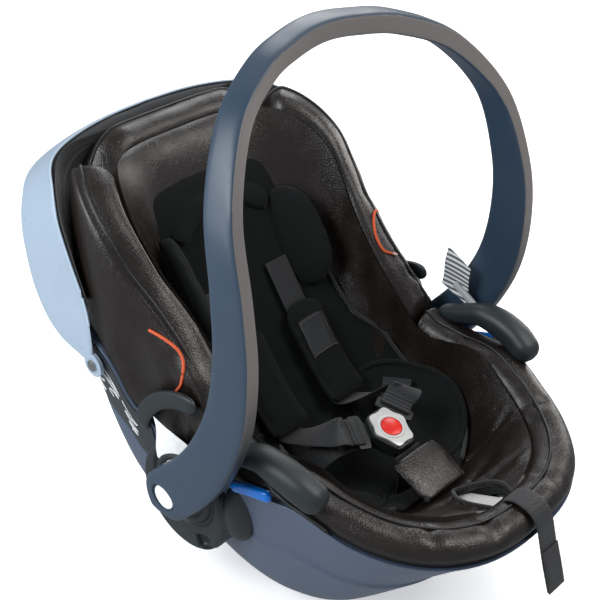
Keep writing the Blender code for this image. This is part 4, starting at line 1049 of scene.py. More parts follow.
def by_travel(start, end, count):
    """Plan angles evenly spaced along the rim between two angles, denser at the ends."""
    fine = [start + (end - start) * k / 1200 for k in range(1201)]
    travel = rim_travel(fine)
    found = []
    for k in range(count + 1):
        t = k / count
        t = t - 0.12 * math.sin(2 * math.pi * t)
        found.append(float(np.interp(travel[-1] * t, travel, fine)))
    return found


def leather_relief(placed, wrinkles, seed, calm=0.0005):
    """Soft unevenness and listed wrinkles over a leather piece."""
    def height(point, _):
        lift = ripple(point, 24, calm, seed) + ripple(point, 70, calm * 0.35, seed + 4)
        for start, end, width, depth in wrinkles:
            lift += crease(point, Vector(start), Vector(end), width, depth)
        return lift
    return relief(placed, height)


def stitches(name, path, body, finish, pitch=0.0048, length=0.0031, radius=0.00042):
    """A row of thread stitches along a path of points."""
    work = bmesh.new()
    travel, due = 0.0, 0.0
    for a, b in zip(path, path[1:]):
        span = (b - a).length
        while due < travel + span:
            middle = a.lerp(b, (due - travel) / span)
            along = (b - a).normalized()
            axes = along.to_track_quat('Z', 'Y').to_matrix().to_4x4()
            size = Matrix.Diagonal((radius, radius, length / 2, 1.0))
            bmesh.ops.create_uvsphere(work, u_segments=6, v_segments=6, radius=1.0,
                                      matrix=Matrix.Translation(middle) @ axes @ size)
            due += pitch
        travel += span
    placed = mesh_object(name, work)
    return piece(placed, body, finish)


def surface_tree(placed):
    """For finding the surface of a piece: its world-space faces in a search tree."""
    mesh = placed.data
    return BVHTree.FromPolygons([v.co for v in mesh.vertices],
                                [tuple(p.vertices) for p in mesh.polygons])


def drop(tree, x, y, lift=0.0):
    """The point where a plumb line at (x, y) meets a surface, raised along its normal."""
    place, normal, _, _ = tree.ray_cast(Vector((x, y, 0.7)), Vector((0, 0, -1)))
    if place is None:
        place, normal = Vector((x, y, lining_height(x, y))), Vector((0, 0, 1))
    if normal.z < 0:
        normal = -normal
    return place + normal * lift


def piped(name, rings, index, lift=0.0006, radius=0.0017, ends=(0, None)):
    """Piping that follows one point of each section of a roll."""
    path = []
    for ring in rings[ends[0]:ends[1]]:
        middle = sum(ring, Vector()) / len(ring)
        path.append(ring[index] + (ring[index] - middle).normalized() * lift)
    cord = cord_mesh(name, path, radius, 12, (0.1, 0.2, 1.0))
    return piece(cord, "root", PIPING)


def make_wings():
    near_folds = [((-0.178, 0.118, 0.272), (-0.172, 0.048, 0.240), 0.0120, 0.0050),
                  ((-0.179, 0.112, 0.238), (-0.174, 0.042, 0.212), 0.0130, 0.0060),
                  ((-0.176, 0.060, 0.262), (-0.166, 0.012, 0.246), 0.0090, 0.0040),
                  ((-0.176, 0.022, 0.252), (-0.140, 0.050, 0.262), 0.0055, 0.0026),
                  ((-0.178, 0.006, 0.236), (-0.142, 0.026, 0.240), 0.0060, 0.0030),
                  ((-0.176, 0.050, 0.282), (-0.146, 0.070, 0.286), 0.0070, 0.0020),
                  ((-0.178, -0.008, 0.220), (-0.150, 0.004, 0.226), 0.0050, 0.0024)]
    for k in range(13):
        y = 0.130 + 0.0085 * k
        near_folds.append(((-0.186, y, 0.36 + 0.3 * (y - 0.13)),
                           (-0.158, y + 0.002 * math.sin(k * 2.3), 0.37 + 0.3 * (y - 0.13)),
                           0.0022, 0.0007))
    far_folds = [((0.172, 0.012, 0.262), (0.140, 0.040, 0.230), 0.0075, 0.0022),
                 ((0.176, -0.006, 0.240), (0.146, 0.014, 0.212), 0.0070, 0.0026),
                 ((0.172, 0.100, 0.330), (0.142, 0.120, 0.290), 0.0120, 0.0016)]
    for side, name in SIDES:
        foot, head = angle_at(-0.020, side), angle_at(0.256, side)
        stations = by_travel(foot, head, 160)
        rings = roll_rings(stations, ((0.010, 0.30), (0.030, 0.12)), wing=1.0)
        wing = ring_solid("wing_cushion_" + name, rings)
        leather_relief(wing, near_folds if side < 0 else far_folds, 3.0 + side, 0.0006)
        piece(wing, "root", LEATHER, ["wing_cushion_" + name], 60)
        piped("wing_piping_" + name, rings, PIPE_AT, 0.0008, 0.0020)
        tree = surface_tree(wing)
        first, last = angle_at(0.066, side), angle_at(0.205, side)
        line = []
        for k in range(121):
            place = plan_point(first + (last - first) * k / 120, 0.0395)
            line.append(drop(tree, place.x, place.y, 0.0002))
        piece(cord_mesh("wing_thread_" + name, line, 0.0006, 8), "root",
              THREAD_PALE if side < 0 else THREAD_DARK)
        make_loop(side, name, tree)


def make_loop(side, name, tree):
    """The bright cord loop sewn to a wing's edge, its loose tip frayed."""
    route = ([(-0.1775, 0.0845, 0.306), (-0.1735, 0.0660, 0.303), (-0.1690, 0.0515, 0.294),
              (-0.1700, 0.0390, 0.281), (-0.1735, 0.0350, 0.265), (-0.1765, 0.0460, 0.246)]
             if side < 0 else
             [(0.1680, 0.0760, 0.315), (0.1600, 0.0760, 0.317), (0.1500, 0.0700, 0.309),
              (0.1440, 0.0560, 0.296), (0.1440, 0.0420, 0.284), (0.1500, 0.0360, 0.280)])
    path = []
    for point in smooth_path(route, 8):
        place, normal, _, _ = tree.find_nearest(Vector(point))
        path.append(place + normal * 0.0015)
    for _ in range(8):
        path = [path[0]] + [(a + b + c) / 3 for a, b, c in zip(path, path[1:], path[2:])] + [
            path[-1]]
    cord = cord_mesh("loop_cord_" + name, path, 0.0017, 12, (0.3, 0.2, 1.0))
    piece(cord, "root", LOOP_CORD)
    tip = [path[-1] + (path[-1] - path[-2]).normalized() * 0.0016 * k for k in range(5)]
    piece(cord_mesh("loop_tip_" + name, tip, 0.0015, 8, (0.3, 0.2, 1.0)), "root", FRAYED)


def make_rim_gap_shade():
    """A black cord in the gap between the shell's rim and the padding: painted shade of the gap.
    """
    path = []
    for angle in even_angles(360):
        place = plan_point(angle, 0.0062)
        path.append(Vector((place.x, place.y, read_table(SHELL_RIM, rim_y(angle)) + 0.0008)))
    # This dark cord stands for the shade in the gap, as painted shade.
    shade_cord = cord_mesh("rim_gap_painted_shade", path, 0.0026, 10, (0.05, 0.05, 1.0), closed=True)
    piece(shade_cord, "root", RUBBER)


def make_head_roll():
    start, end = angle_at(0.238, 1), angle_at(0.238, -1)
    rings = roll_rings(by_travel(start, end, 190), ((0.075, 0.45), (0.100, 0.20)), slopes=True)
    head = ring_solid("head_cushion", rings)
    folds = [((-0.150, 0.262, 0.440), (-0.118, 0.250, 0.438), 0.006, 0.0014),
             ((0.150, 0.262, 0.440), (0.118, 0.250, 0.438), 0.006, 0.0014)]
    leather_relief(head, folds, 9.0, 0.0009)
    piece(head, "root", LEATHER, ["head_cushion"], 60)
    piped("head_piping", rings, PIPE_AT, ends=(6, -6))


def make_foot_roll():
    start, end = angle_at(-0.020, -1), angle_at(-0.020, 1) + 2 * math.pi
    stations = by_travel(start, end, 320)
    rings = roll_rings(stations, ((0.010, 0.30), (0.010, 0.30)))
    foot = ring_solid("foot_rim", rings)
    folds = [((0.176, -0.090, 0.230), (0.150, -0.082, 0.214), 0.0050, 0.0012),
             ((0.140, -0.215, 0.216), (0.118, -0.196, 0.204), 0.0060, 0.0014),
             ((-0.060, -0.300, 0.205), (-0.050, -0.262, 0.200), 0.0070, 0.0018),
             ((0.052, -0.302, 0.205), (0.044, -0.264, 0.200), 0.0070, 0.0014),
             ((-0.120, -0.268, 0.212), (-0.102, -0.240, 0.204), 0.0055, 0.0015)]
    leather_relief(foot, folds, 14.0, 0.0008)
    piece(foot, "root", LEATHER, ["foot_rim"], 60)
    piped("foot_piping", rings, 18, 0.0004, 0.0017, (4, -4))


# ---------------------------------------------------------------- seat cover
SLOT_CENTRE, SLOT_LONG, SLOT_WIDE = Vector((0.0, -0.2370, 0.0)), 0.0390, 0.0225
# Where the cover starts to swell up to the padded rim, as a share of the way to it, by y.
SWELL_FROM = [(-0.31, 0.66), (-0.19, 0.68), (-0.14, 0.82), (-0.08, 0.93), (0.0, 0.94),
              (0.05, 0.90), (0.12, 0.80), (0.20, 0.74), (0.29, 0.74)]


def slot_share(x, y):
    """How deep a point lies in the eye-shaped slot: 1 on its line, above 1 outside."""
    along = abs(y - SLOT_CENTRE.y) / SLOT_LONG
    wide = SLOT_WIDE * max(0.0, 1 - along * along)
    return 9.0 if wide < 1e-4 else abs(x) / wide


def slot_tool():
    """An upright eye-shaped prism through the cover at the adjuster."""
    half = [(SLOT_LONG * 0.985 * math.cos(math.pi * k / 24)) for k in range(25)]
    outline = [(SLOT_WIDE * (1 - (y / SLOT_LONG)**2), SLOT_CENTRE.y + y) for y in half]
    outline += [(-x, y) for x, y in outline[-2:0:-1]]
    return outline_solid("slot", outline, 0.10, 0.24, Matrix.Identity(4))


def make_cover():
    """The leather basin with its seams, drapes and the adjuster's slot."""
    angles = even_angles(288)
    shares = [0.03 + 0.97 * (k / 74)**0.85 for k in range(75)]
    seams = [((0.063, -0.172), (0.152, -0.196)), ((-0.013, -0.210), (0.088, -0.240)),
             ((-0.063, -0.172), (-0.140, -0.190)), ((0.020, -0.205), (0.006, -0.214)),
             ((0.128, -0.060), (0.140, -0.150)), ((-0.128, -0.060), (-0.140, -0.150))]
    drapes = [((0.110, -0.020), (0.138, 0.010), 0.009, 0.0040),
              ((0.104, 0.020), (0.132, 0.052), 0.010, 0.0030),
              ((-0.110, -0.020), (-0.138, 0.010), 0.009, 0.0045),
              ((-0.104, 0.026), (-0.134, 0.060), 0.011, 0.0040),
              ((0.046, -0.236), (0.028, -0.224), 0.004, 0.0022),
              ((-0.046, -0.240), (-0.026, -0.226), 0.004, 0.0022),
              ((0.044, -0.252), (0.024, -0.250), 0.004, 0.0018),
              ((-0.040, -0.256), (-0.022, -0.250), 0.0045, 0.0024),
              ((0.060, -0.200), (0.026, -0.206), 0.006, 0.0020),
              ((-0.064, -0.206), (-0.026, -0.206), 0.006, 0.0022)]

    def lowered(point):
        flat = Vector((point.x, point.y, 0.0))
        drop_by = 0.0
        for a, b in seams:
            drop_by += crease(flat, Vector((*a, 0)), Vector((*b, 0)), 0.0028, 0.0022, 0.35)
        for a, b, width, depth in drapes:
            drop_by += crease(flat, Vector((*a, 0)), Vector((*b, 0)), width, depth)
        drop_by += ripple(point, 17, 0.0012, 6.0) + ripple(point, 48, 0.0005, 2.0)
        inside = slot_share(point.x, point.y)
        if inside < 1.25:
            drop_by -= 0.0040 * (1 - smooth_step(0.90, 1.20, inside))
        return drop_by

    top = []
    for share in shares:
        ring = []
        for angle in angles:
            point = lining_point(angle, share)
            fade = 1.0 - 0.85 * smooth_step(0.93, 1.0, share)
            if share < 0.985:
                point += lining_normal(point.x, point.y) * lowered(point) * fade
            away = math.hypot(point.x / 0.042, (point.y - SLOT_CENTRE.y) / 0.052)
            brim = smooth_step(read_table(SWELL_FROM, point.y), 1.0, share)
            point.z += 0.0160 * brim * (1 - math.exp(-away**3))
            ring.append(point)
        top.append(ring)
    under = [[lining_point(a, s, 0.0095) for a in angles] for s in shares[::4] + [1.0]]
    cover = bowl_solid("seat_cover", top, under)
    cut(cover, slot_tool(), solver='MANIFOLD')
    cut(bpy.data.objects["foam_liner_looks"], slot_tool())
    piece(cover, "root", LEATHER, ["seat_cover"], 60)
    tree = surface_tree(cover)
    for k, (a, b) in enumerate(seams[:5]):
        path = [drop(tree, *Vector(a).lerp(Vector(b), t / 40), 0.0002)
                for t in range(41)]
        stitches("cover_stitch_%d" % k, path, "root", THREAD_DARK, 0.0046, 0.0030, 0.0004)
    rim = []
    for k in range(96):
        turn = 2 * math.pi * k / 96
        y = SLOT_LONG * 0.99 * math.cos(turn)
        x = math.copysign(SLOT_WIDE * (1 - (y / SLOT_LONG)**2), math.sin(turn))
        x = x * 1.04 if abs(math.sin(turn)) > 1e-6 else 0.0
        place = Vector((x, SLOT_CENTRE.y + y, 0))
        place.z = lining_height(place.x, place.y) + 0.0014
        rim.append(place)
    piece(cord_mesh("slot_binding", rim, 0.0021, 12, (0.1, 0.2, 1.0), closed=True), "root",
          BINDING)


def adjuster_axes():
    return Matrix.Translation(ADJUSTER) @ Matrix.Rotation(ADJUSTER_SLOPE, 4, 'X')


# ---------------------------------------------------------------- knitted inlay and pads
def inlay_top(x, y):
    return lining_height(x, y) + 0.0004 + INLAY


def over_inlay(x, y, half, up):
    """A point clear of the inlay across a strap's half width."""
    tops = [inlay_top(x + dx, y + dy) for dx in (-half, 0, half) for dy in (-0.012, 0.0)]
    return Vector((x, y, max(tops) + up))


def make_inlay():
    rows, columns = 130, 90
    top, under = [], []
    for row in range(rows + 1):
        y = -0.172 + 0.377 * row / rows
        half = read_table(INLAY_WIDTH, y)
        top_row, under_row = [], []
        for k in range(columns + 1):
            share = 2 * k / columns - 1
            x = half * share
            edge = max(abs(share)**8, (2 * abs(row / rows - 0.5))**16)
            lift = -0.0085 * edge + ripple(Vector((x, y, 0)), 30, 0.0014, 5.0)
            lift += crease(Vector((x, y, 0)), Vector((-0.075, 0.055, 0)),
                           Vector((0.075, 0.055, 0)), 0.0060, 0.0030)
            lift += crease(Vector((x, y, 0)), Vector((-0.070, -0.020, 0)),
                           Vector((-0.012, 0.004, 0)), 0.0050, 0.0020)
            lift += crease(Vector((x, y, 0)), Vector((0.070, -0.020, 0)),
                           Vector((0.012, 0.004, 0)), 0.0050, 0.0020)
            slot_away = math.hypot(x / 0.034, (y + 0.140) / 0.010)
            lift -= 0.010 * math.exp(-slot_away**4)
            top_row.append(Vector((x, y, inlay_top(x, y) + lift)))
            under_row.append(Vector((x, y, lining_height(x, y) + 0.0006)))
        top.append(top_row)
        under.append(under_row)
    inlay = sheet_solid("seat_inlay", top, under)
    piece(inlay, "root", JERSEY, ["seat_inlay"], 60)
    edge = [Vector((row[-1].x - 0.0006, row[-1].y, row[-1].z + 0.0030)) for row in top[2:-2:2]]
    for side, name in SIDES:
        path = [mirrored(p, side) for p in edge]
        piece(cord_mesh("inlay_binding_" + name, path, 0.0024, 12), "root", BINDING)


def swell(placed, voxel, pressure, cap):
    """Fill a pad by cloth simulation, no point moving further than cap."""
    fill = placed.modifiers.new("even", 'REMESH')
    fill.mode = 'VOXEL'
    fill.voxel_size = voxel
    apply_modifiers(placed)
    start = [v.co.copy() for v in placed.data.vertices]
    cloth = placed.modifiers.new("cloth", 'CLOTH')
    cloth.settings.use_pressure = True
    cloth.settings.uniform_pressure_force = pressure
    cloth.settings.quality = 5
    cloth.settings.effector_weights.gravity = 0.0
    cloth.settings.mass = 0.15
    cloth.point_cache.frame_start = 1
    cloth.point_cache.frame_end = 20
    for frame_number in range(1, 21):
        bpy.context.scene.frame_set(frame_number)
    apply_modifiers(placed)
    for vertex, old in zip(placed.data.vertices, start):
        move = vertex.co - old
        if move.length > cap:
            vertex.co = old + move * (cap / move.length)
    placed.data.update()
    bpy.context.scene.frame_set(1)
    return placed


def subdivide(placed):
    step = placed.modifiers.new("fine", 'SUBSURF')
    step.levels = step.render_levels = 1
    return apply_modifiers(placed)


def pad_over(name, centre, long_axis, flat_axis, long_half, flat_half, thick):
    """An oval pad with a domed face."""
    long_axis, flat_axis = Vector(long_axis).normalized(), Vector(flat_axis)
    flat_axis = (flat_axis - long_axis * flat_axis.dot(long_axis)).normalized()
    face = long_axis.cross(flat_axis)
    rings = []
    for k in range(1, 44):
        t = -math.cos(math.pi * k / 44)
        size = math.sqrt(max(0.0, 1 - abs(t)**2.6))
        middle = Vector(centre) + long_axis * long_half * t
        rings.append(squared(middle, flat_axis, face, flat_half * size,
                             thick / 2 * (0.35 + 0.65 * size), 36, 0.75))
    return ring_solid(name, rings)


def make_head_pads():
    for side, name in SIDES:
        pad = pad_over("head_pillow_" + name, (side * 0.086, 0.126, 0.294),
                       (side * 0.02, 0.62, 0.76), (side * 0.55, -0.60, 0.52), 0.062, 0.034,
                       0.024)
        swell(pad, 0.0036, 4.0, 0.005)
        subdivide(pad)
        relief(pad, lambda point, _: ripple(point, 40, 0.0010, 8.0))
        piece(pad, "root", JERSEY, ["head_pillow"], 70)
    bridge = smooth_path([(-0.070, 0.166, 0.330), (-0.040, 0.186, 0.346), (0.0, 0.193, 0.352),
                          (0.040, 0.186, 0.346), (0.070, 0.166, 0.330)], 8)
    rings = []
    for k, (point, _, side, up) in enumerate(frames_along(bridge, (0.0, -0.62, 0.78))):
        taper = math.sin(math.pi * (k + 0.6) / (len(bridge) + 0.2))**0.25
        rings.append(squared(point, side, up, 0.020 * taper, 0.010 * taper, 28, 0.8))
    neck = ring_solid("head_pillow_bridge", rings)
    relief(neck, lambda point, _: ripple(point, 45, 0.0012, 3.0))
    piece(neck, "root", JERSEY, smooth=70)


def make_lap_pads():
    """The two kidney-shaped bolsters beside the buckle, each with soft piping round it."""
    for side, name in SIDES:
        outline = smooth_path([(0.060, 0.008, 0), (0.092, 0.010, 0), (0.116, -0.014, 0),
                               (0.127, -0.056, 0), (0.121, -0.104, 0), (0.098, -0.138, 0),
                               (0.064, -0.150, 0), (0.040, -0.136, 0), (0.052, -0.100, 0),
                               (0.062, -0.060, 0), (0.054, -0.024, 0)], 10, closed=True)
        centre = Vector((0.090, -0.066, 0.0))
        top, under = [], []
        steps = 26
        for k in range(steps + 1):
            t = k / steps
            dome = 0.0135 * (1 - t**3.2)**0.6 if t < 1 else 0.0
            high, low = [], []
            for p in outline:
                flat = centre.lerp(p, max(t, 0.02))
                base = inlay_top(flat.x, flat.y)
                high.append(Vector((side * flat.x, flat.y, base - 0.0030 + dome
                                    + ripple(flat, 34, 0.0010, 7.0 + side))))
                low.append(Vector((side * flat.x, flat.y, base - 0.0060)))
            top.append(high)
            under.append(low)
        pad = bowl_solid("lap_pad_" + name, top, under)
        piece(pad, "root", JERSEY, smooth=60)
        path = [Vector((side * p.x, p.y, inlay_top(p.x, p.y) - 0.0006)) for p in outline]
        piece(cord_mesh("lap_piping_" + name, path, 0.0034, 12, closed=True), "root", JERSEY)


make_wings()
make_rim_gap_shade()
make_head_roll()
make_foot_roll()
make_cover()
make_inlay()
make_head_pads()
make_lap_pads()


# ---------------------------------------------------------------- buckle and harness
BUCKLE_AXES = Matrix.Translation(BUCKLE) @ Matrix.Rotation(BUCKLE_TILT, 4, 'X')
TONGUE_ANGLE = math.atan2(0.022, 0.010)
PLATE_CORNERS = [(-0.0125, 0.0240), (-0.0225, 0.0020), (-0.0120, -0.0240),
                 (0.0120, -0.0240), (0.0225, 0.0020), (0.0125, 0.0240)]


def rounded_outline(corners, radius, scallop=0.0):
    """A polygon whose corners are arcs and whose long sides may be drawn in a little."""
    steps = 6
    corners = [Vector((x, y)) for x, y in corners]
    outline = []
    for k, corner in enumerate(corners):
        before, after = corners[k - 1], corners[(k + 1) % len(corners)]
        start = corner + (before - corner).normalized() * radius
        end = corner + (after - corner).normalized() * radius
        for step in range(steps + 1):
            t = step / steps
            outline.append(start.lerp(corner, t).lerp(corner.lerp(end, t), t))
        following_start = after + (corner - after).normalized() * radius
        span = following_start - end
        if scallop and span.length > 0.012:
            inward = Vector((-span.y, span.x)).normalized()
            if inward.dot(end) > 0:
                inward = -inward
            for step in range(1, steps + 2):
                t = step / (steps + 2)
                outline.append(end + span * t + inward * scallop * math.sin(math.pi * t)**2)
    return [(p.x, p.y) for p in outline]


def circle(radius):
    return [(radius * math.cos(a), radius * math.sin(a)) for a in turns_of(48)]


def dome(name, profile, axes):
    """A turned piece about the Z axis of axes: profile is (radius, height), axis to axis."""
    rings = [[axes @ Vector((r * math.cos(a), r * math.sin(a), z))
              for a in turns_of(56)] for r, z in profile]
    return ring_solid(name, rings)


def make_buckle():
    face = outline_solid("buckle_face", rounded_outline(PLATE_CORNERS, 0.0032, 0.0012),
                         -0.0015, 0.0015, BUCKLE_AXES, 0.0007, 3)
    cut(face, outline_solid("well", circle(0.0125), -0.010, 0.010, BUCKLE_AXES))
    piece(face, "root", SILVER, ["buckle_face"], 28)
    wider = [(x * 1.10, y * 1.10) for x, y in PLATE_CORNERS]
    body = outline_solid("buckle_body", rounded_outline(wider, 0.0040), -0.0185, -0.0019,
                         BUCKLE_AXES, 0.0016, 4)
    cut(body, outline_solid("well", circle(0.0125), -0.0140, 0.010, BUCKLE_AXES))
    for side, name in SIDES:
        axes = tongue_axes(side)
        throat = [(-0.0092, -0.0092), (0.0092, -0.0092), (0.0092, 0.014), (-0.0092, 0.014)]
        cut(body, outline_solid("throat", throat, -0.0118, -0.0074, axes))
    piece(body, "root", BLACK, ["buckle_body"], 28)
    profile = [(1e-5, -0.0046), (0.0112, -0.0046), (0.0120, -0.0040), (0.0120, 0.0014),
               (0.0117, 0.0021), (0.0110, 0.0022), (0.0100, 0.0018), (0.0060, 0.0010),
               (0.0030, 0.0008), (1e-5, 0.00075)]
    piece(dome("buckle_button", profile, BUCKLE_AXES), "buckle_push", RED, ["buckle_button"],
          28)
    collar = [(0.0128, 0.0010), (0.0128, 0.0019), (0.0134, 0.0022), (0.0150, 0.0022),
              (0.0156, 0.0018), (0.0156, 0.0010)]
    rings = [[BUCKLE_AXES @ Vector((r * math.cos(a), r * math.sin(a), z)) for r, z in collar]
             for a in turns_of(56)]
    piece(ring_solid("button_collar", rings, closed=True), "root", PALE)
    for side, name in SIDES:
        make_tongue(side, name)


def tongue_axes(side):
    """Frame of one tongue: X along its slot, Y out of the buckle."""
    spin = Matrix.Rotation(-side * TONGUE_ANGLE, 4, 'Z')
    return BUCKLE_AXES @ Matrix.Translation((side * 0.0175, 0.0130, 0.0)) @ spin


def make_tongue(side, name):
    axes = tongue_axes(side)
    blade = [(-0.008, -0.008), (0.008, -0.008), (0.0085, 0.0045), (0.0220, 0.0065),
             (0.0220, 0.0205), (-0.0220, 0.0205), (-0.0220, 0.0065), (-0.0085, 0.0045)]
    tongue = outline_solid("tongue_" + name, rounded_outline(blade, 0.0022), -0.0112, -0.0080,
                           axes, 0.0010, 3)
    slot = [(-0.0175, 0.0116), (0.0175, 0.0116), (0.0175, 0.0162), (-0.0175, 0.0162)]
    cut(tongue, outline_solid("slot", rounded_outline(slot, 0.0016), -0.02, 0.0, axes))
    piece(tongue, "root", BLACK, ["tongue_" + name], 28)


def make_straps(side, name):
    """Shoulder and hip straps from the pads to the tongues."""
    axes = tongue_axes(side)
    across = side * (axes.to_3x3() @ Vector((1, 0, 0)))
    chest = [(0.048, 0.125, 0.0045), (0.048, 0.088, 0.0045), (0.048, 0.056, 0.0045),
             (0.048, 0.024, 0.0060), (0.048, -0.004, 0.0130)]
    route = [over_inlay(side * x, y, 0.020, up) for x, y, up in chest]
    loose = [axes @ Vector(p) for p in ((0, 0.0440, -0.0010), (0, 0.0280, -0.0050),
                                        (0, 0.0145, -0.0062))]
    path = smooth_path(route + loose, 14)
    turns = [Vector((side, 0, 0)).lerp(across, smooth_step(0.55, 0.78, k / len(path)))
             for k in range(len(path))]
    strap = ribbon("shoulder_strap_" + name, path, turns, 0.034, 0.0022)
    piece(strap, "root", WEBBING, ["shoulder_strap_" + name], 50)
    bunch = smooth_path([axes @ Vector(p) for p in ((0, 0.0130, -0.0066), (0, 0.0190, -0.0062),
                                                    (0, 0.0300, -0.0042),
                                                    (0, 0.0410, -0.0008))], 26)
    fold = ribbon("strap_gather_" + name, bunch, across, 0.0335, 0.0030, 0.0011, 0.0048)
    piece(fold, "root", WEBBING, smooth=50)

    hip = [axes @ Vector(p) for p in ((0, 0.0145, -0.0136), (0, 0.0280, -0.0180),
                                      (0, 0.0440, -0.0310))]
    hip.append(over_inlay(side * 0.080, -0.050, 0.022, 0.0060))
    hip.append(over_inlay(side * 0.098, -0.036, 0.022, 0.0020))
    strap = ribbon("hip_strap_" + name, smooth_path(hip, 14), across, 0.034, 0.0022, 0.0004,
                   0.009)
    piece(strap, "root", WEBBING, ["hip_strap_" + name], 50)
    make_harness_pad(side, name, route)


def make_harness_pad(side, name, route):
    """A quilted chest pad with an arched top, a bound edge and a blank patch."""
    line = smooth_path([p + Vector((0, -0.0030, 0.0085)) for p in route[1:]], 20)
    rings = []
    travel = lengths_along(line)
    spots = frames_along(line, (0.0, -0.3, 1.0))
    for (point, tangent, _, _), at in zip(spots, travel):
        wide = Vector((1, 0, 0))
        wide = (wide - tangent * wide.dot(tangent)).normalized()
        away = min(1.0, at / 0.024)
        half = 0.0300 * math.sqrt(max(0.06, 1 - (1 - away)**2))
        back = min(1.0, (travel[-1] - at) / 0.006)
        half = min(half, 0.0300 * (0.72 + 0.28 * back))
        thin = 0.0046 * (0.45 + 0.55 * min(1.0, min(at, travel[-1] - at) / 0.008))
        rings.append(squared(point, wide, tangent.cross(wide), half, thin, 36, 0.62))
    pad = ring_solid("harness_pad_" + name, rings)
    swell(pad, 0.0030, 3.0, 0.0022)
    subdivide(pad)
    relief(pad, lambda point, _: ripple(point, 60, 0.0006, 12.0 + side))
    piece(pad, "root", JERSEY, ["harness_pad_" + name], 70)
    tree = surface_tree(pad)
    edge = []
    for k in range(3, len(line) - 3, 2):
        edge.append(drop(tree, side * 0.048 + 0.0245 * side, line[k].y, 0.0))
    inner = []
    for k in range(5, len(line) - 3, 2):
        inner.append(drop(tree, side * 0.048 - 0.0245 * side, line[k].y, 0.0))
    for label, path in (("outer", edge), ("inner", inner)):
        stitches("pad_stitch_%s_%s" % (label, name), path, "root", THREAD_DARK, 0.0042,
                 0.0028, 0.0004)
    if side > 0:
        top, under = [], []
        for i in range(17):
            row, low = [], []
            for j in range(17):
                x = 0.048 + 0.0190 * (j / 8 - 1)
                y = 0.050 + 0.0150 * (i / 8 - 1)
                place = drop(tree, x, y)
                row.append(place + Vector((0, 0, 0.0011)))
                low.append(place - Vector((0, 0, 0.0004)))
            top.append(row)
            under.append(low)
        patch = sheet_solid("chest_patch", top, under)
        piece(patch, "root", PATCH_CLOTH)
        corners = [(0.030, 0.036), (0.066, 0.036), (0.066, 0.064), (0.030, 0.064),
                   (0.030, 0.036)]
        path = []
        for (x0, y0), (x1, y1) in zip(corners, corners[1:]):
            path += [drop(tree, x0 + (x1 - x0) * t / 12, y0 + (y1 - y0) * t / 12, 0.0014)
                     for t in range(12)]
        stitches("patch_stitch", path, "root", THREAD_PALE, 0.0030, 0.0021, 0.00030)


def make_crotch():
    foot_edge = BUCKLE_AXES @ Vector((0, -0.0290, -0.0100))
    path = smooth_path([(0, -0.138, 0.108), (0, -0.1385, 0.130), (0, -0.1385, 0.155),
                        tuple(foot_edge)], 12)
    strap = ribbon("crotch_strap", path, Vector((1, 0, 0)), 0.040, 0.0024)
    piece(strap, "root", WEBBING, ["crotch_strap"], 50)
    line = smooth_path([(0, -0.1900, 0.1560), (0, -0.1760, 0.1610), (0, -0.1570, 0.1690),
                        (0, -0.1390, 0.1745)], 14)
    rings = []
    for k, (point, _, side, up) in enumerate(frames_along(line, (0.0, -0.3, 1.0))):
        t = k / (len(line) - 1)
        half = 0.036 * min(1.0, 0.80 + 0.9 * t) * (1 - 0.20 * smooth_step(0.86, 1.0, t))
        rings.append(squared(point, side, up, half, 0.0050 * (0.75 + 0.25 * math.sin(
            math.pi * t)), 36, 0.60))
    pad = ring_solid("crotch_pad", rings)
    swell(pad, 0.0030, 3.0, 0.0020)
    subdivide(pad)
    piece(pad, "root", LEATHER, ["crotch_pad"], 70)
    for side, name in SIDES:
        edge = [point + across * side * 0.0300 for point, _, across, _ in
                frames_along(line, (0.0, -0.3, 1.0))[3:-3]]
        piece(cord_mesh("crotch_binding_" + name, edge, 0.0026, 10, (0, -1, 0.3)), "root",
              BINDING)


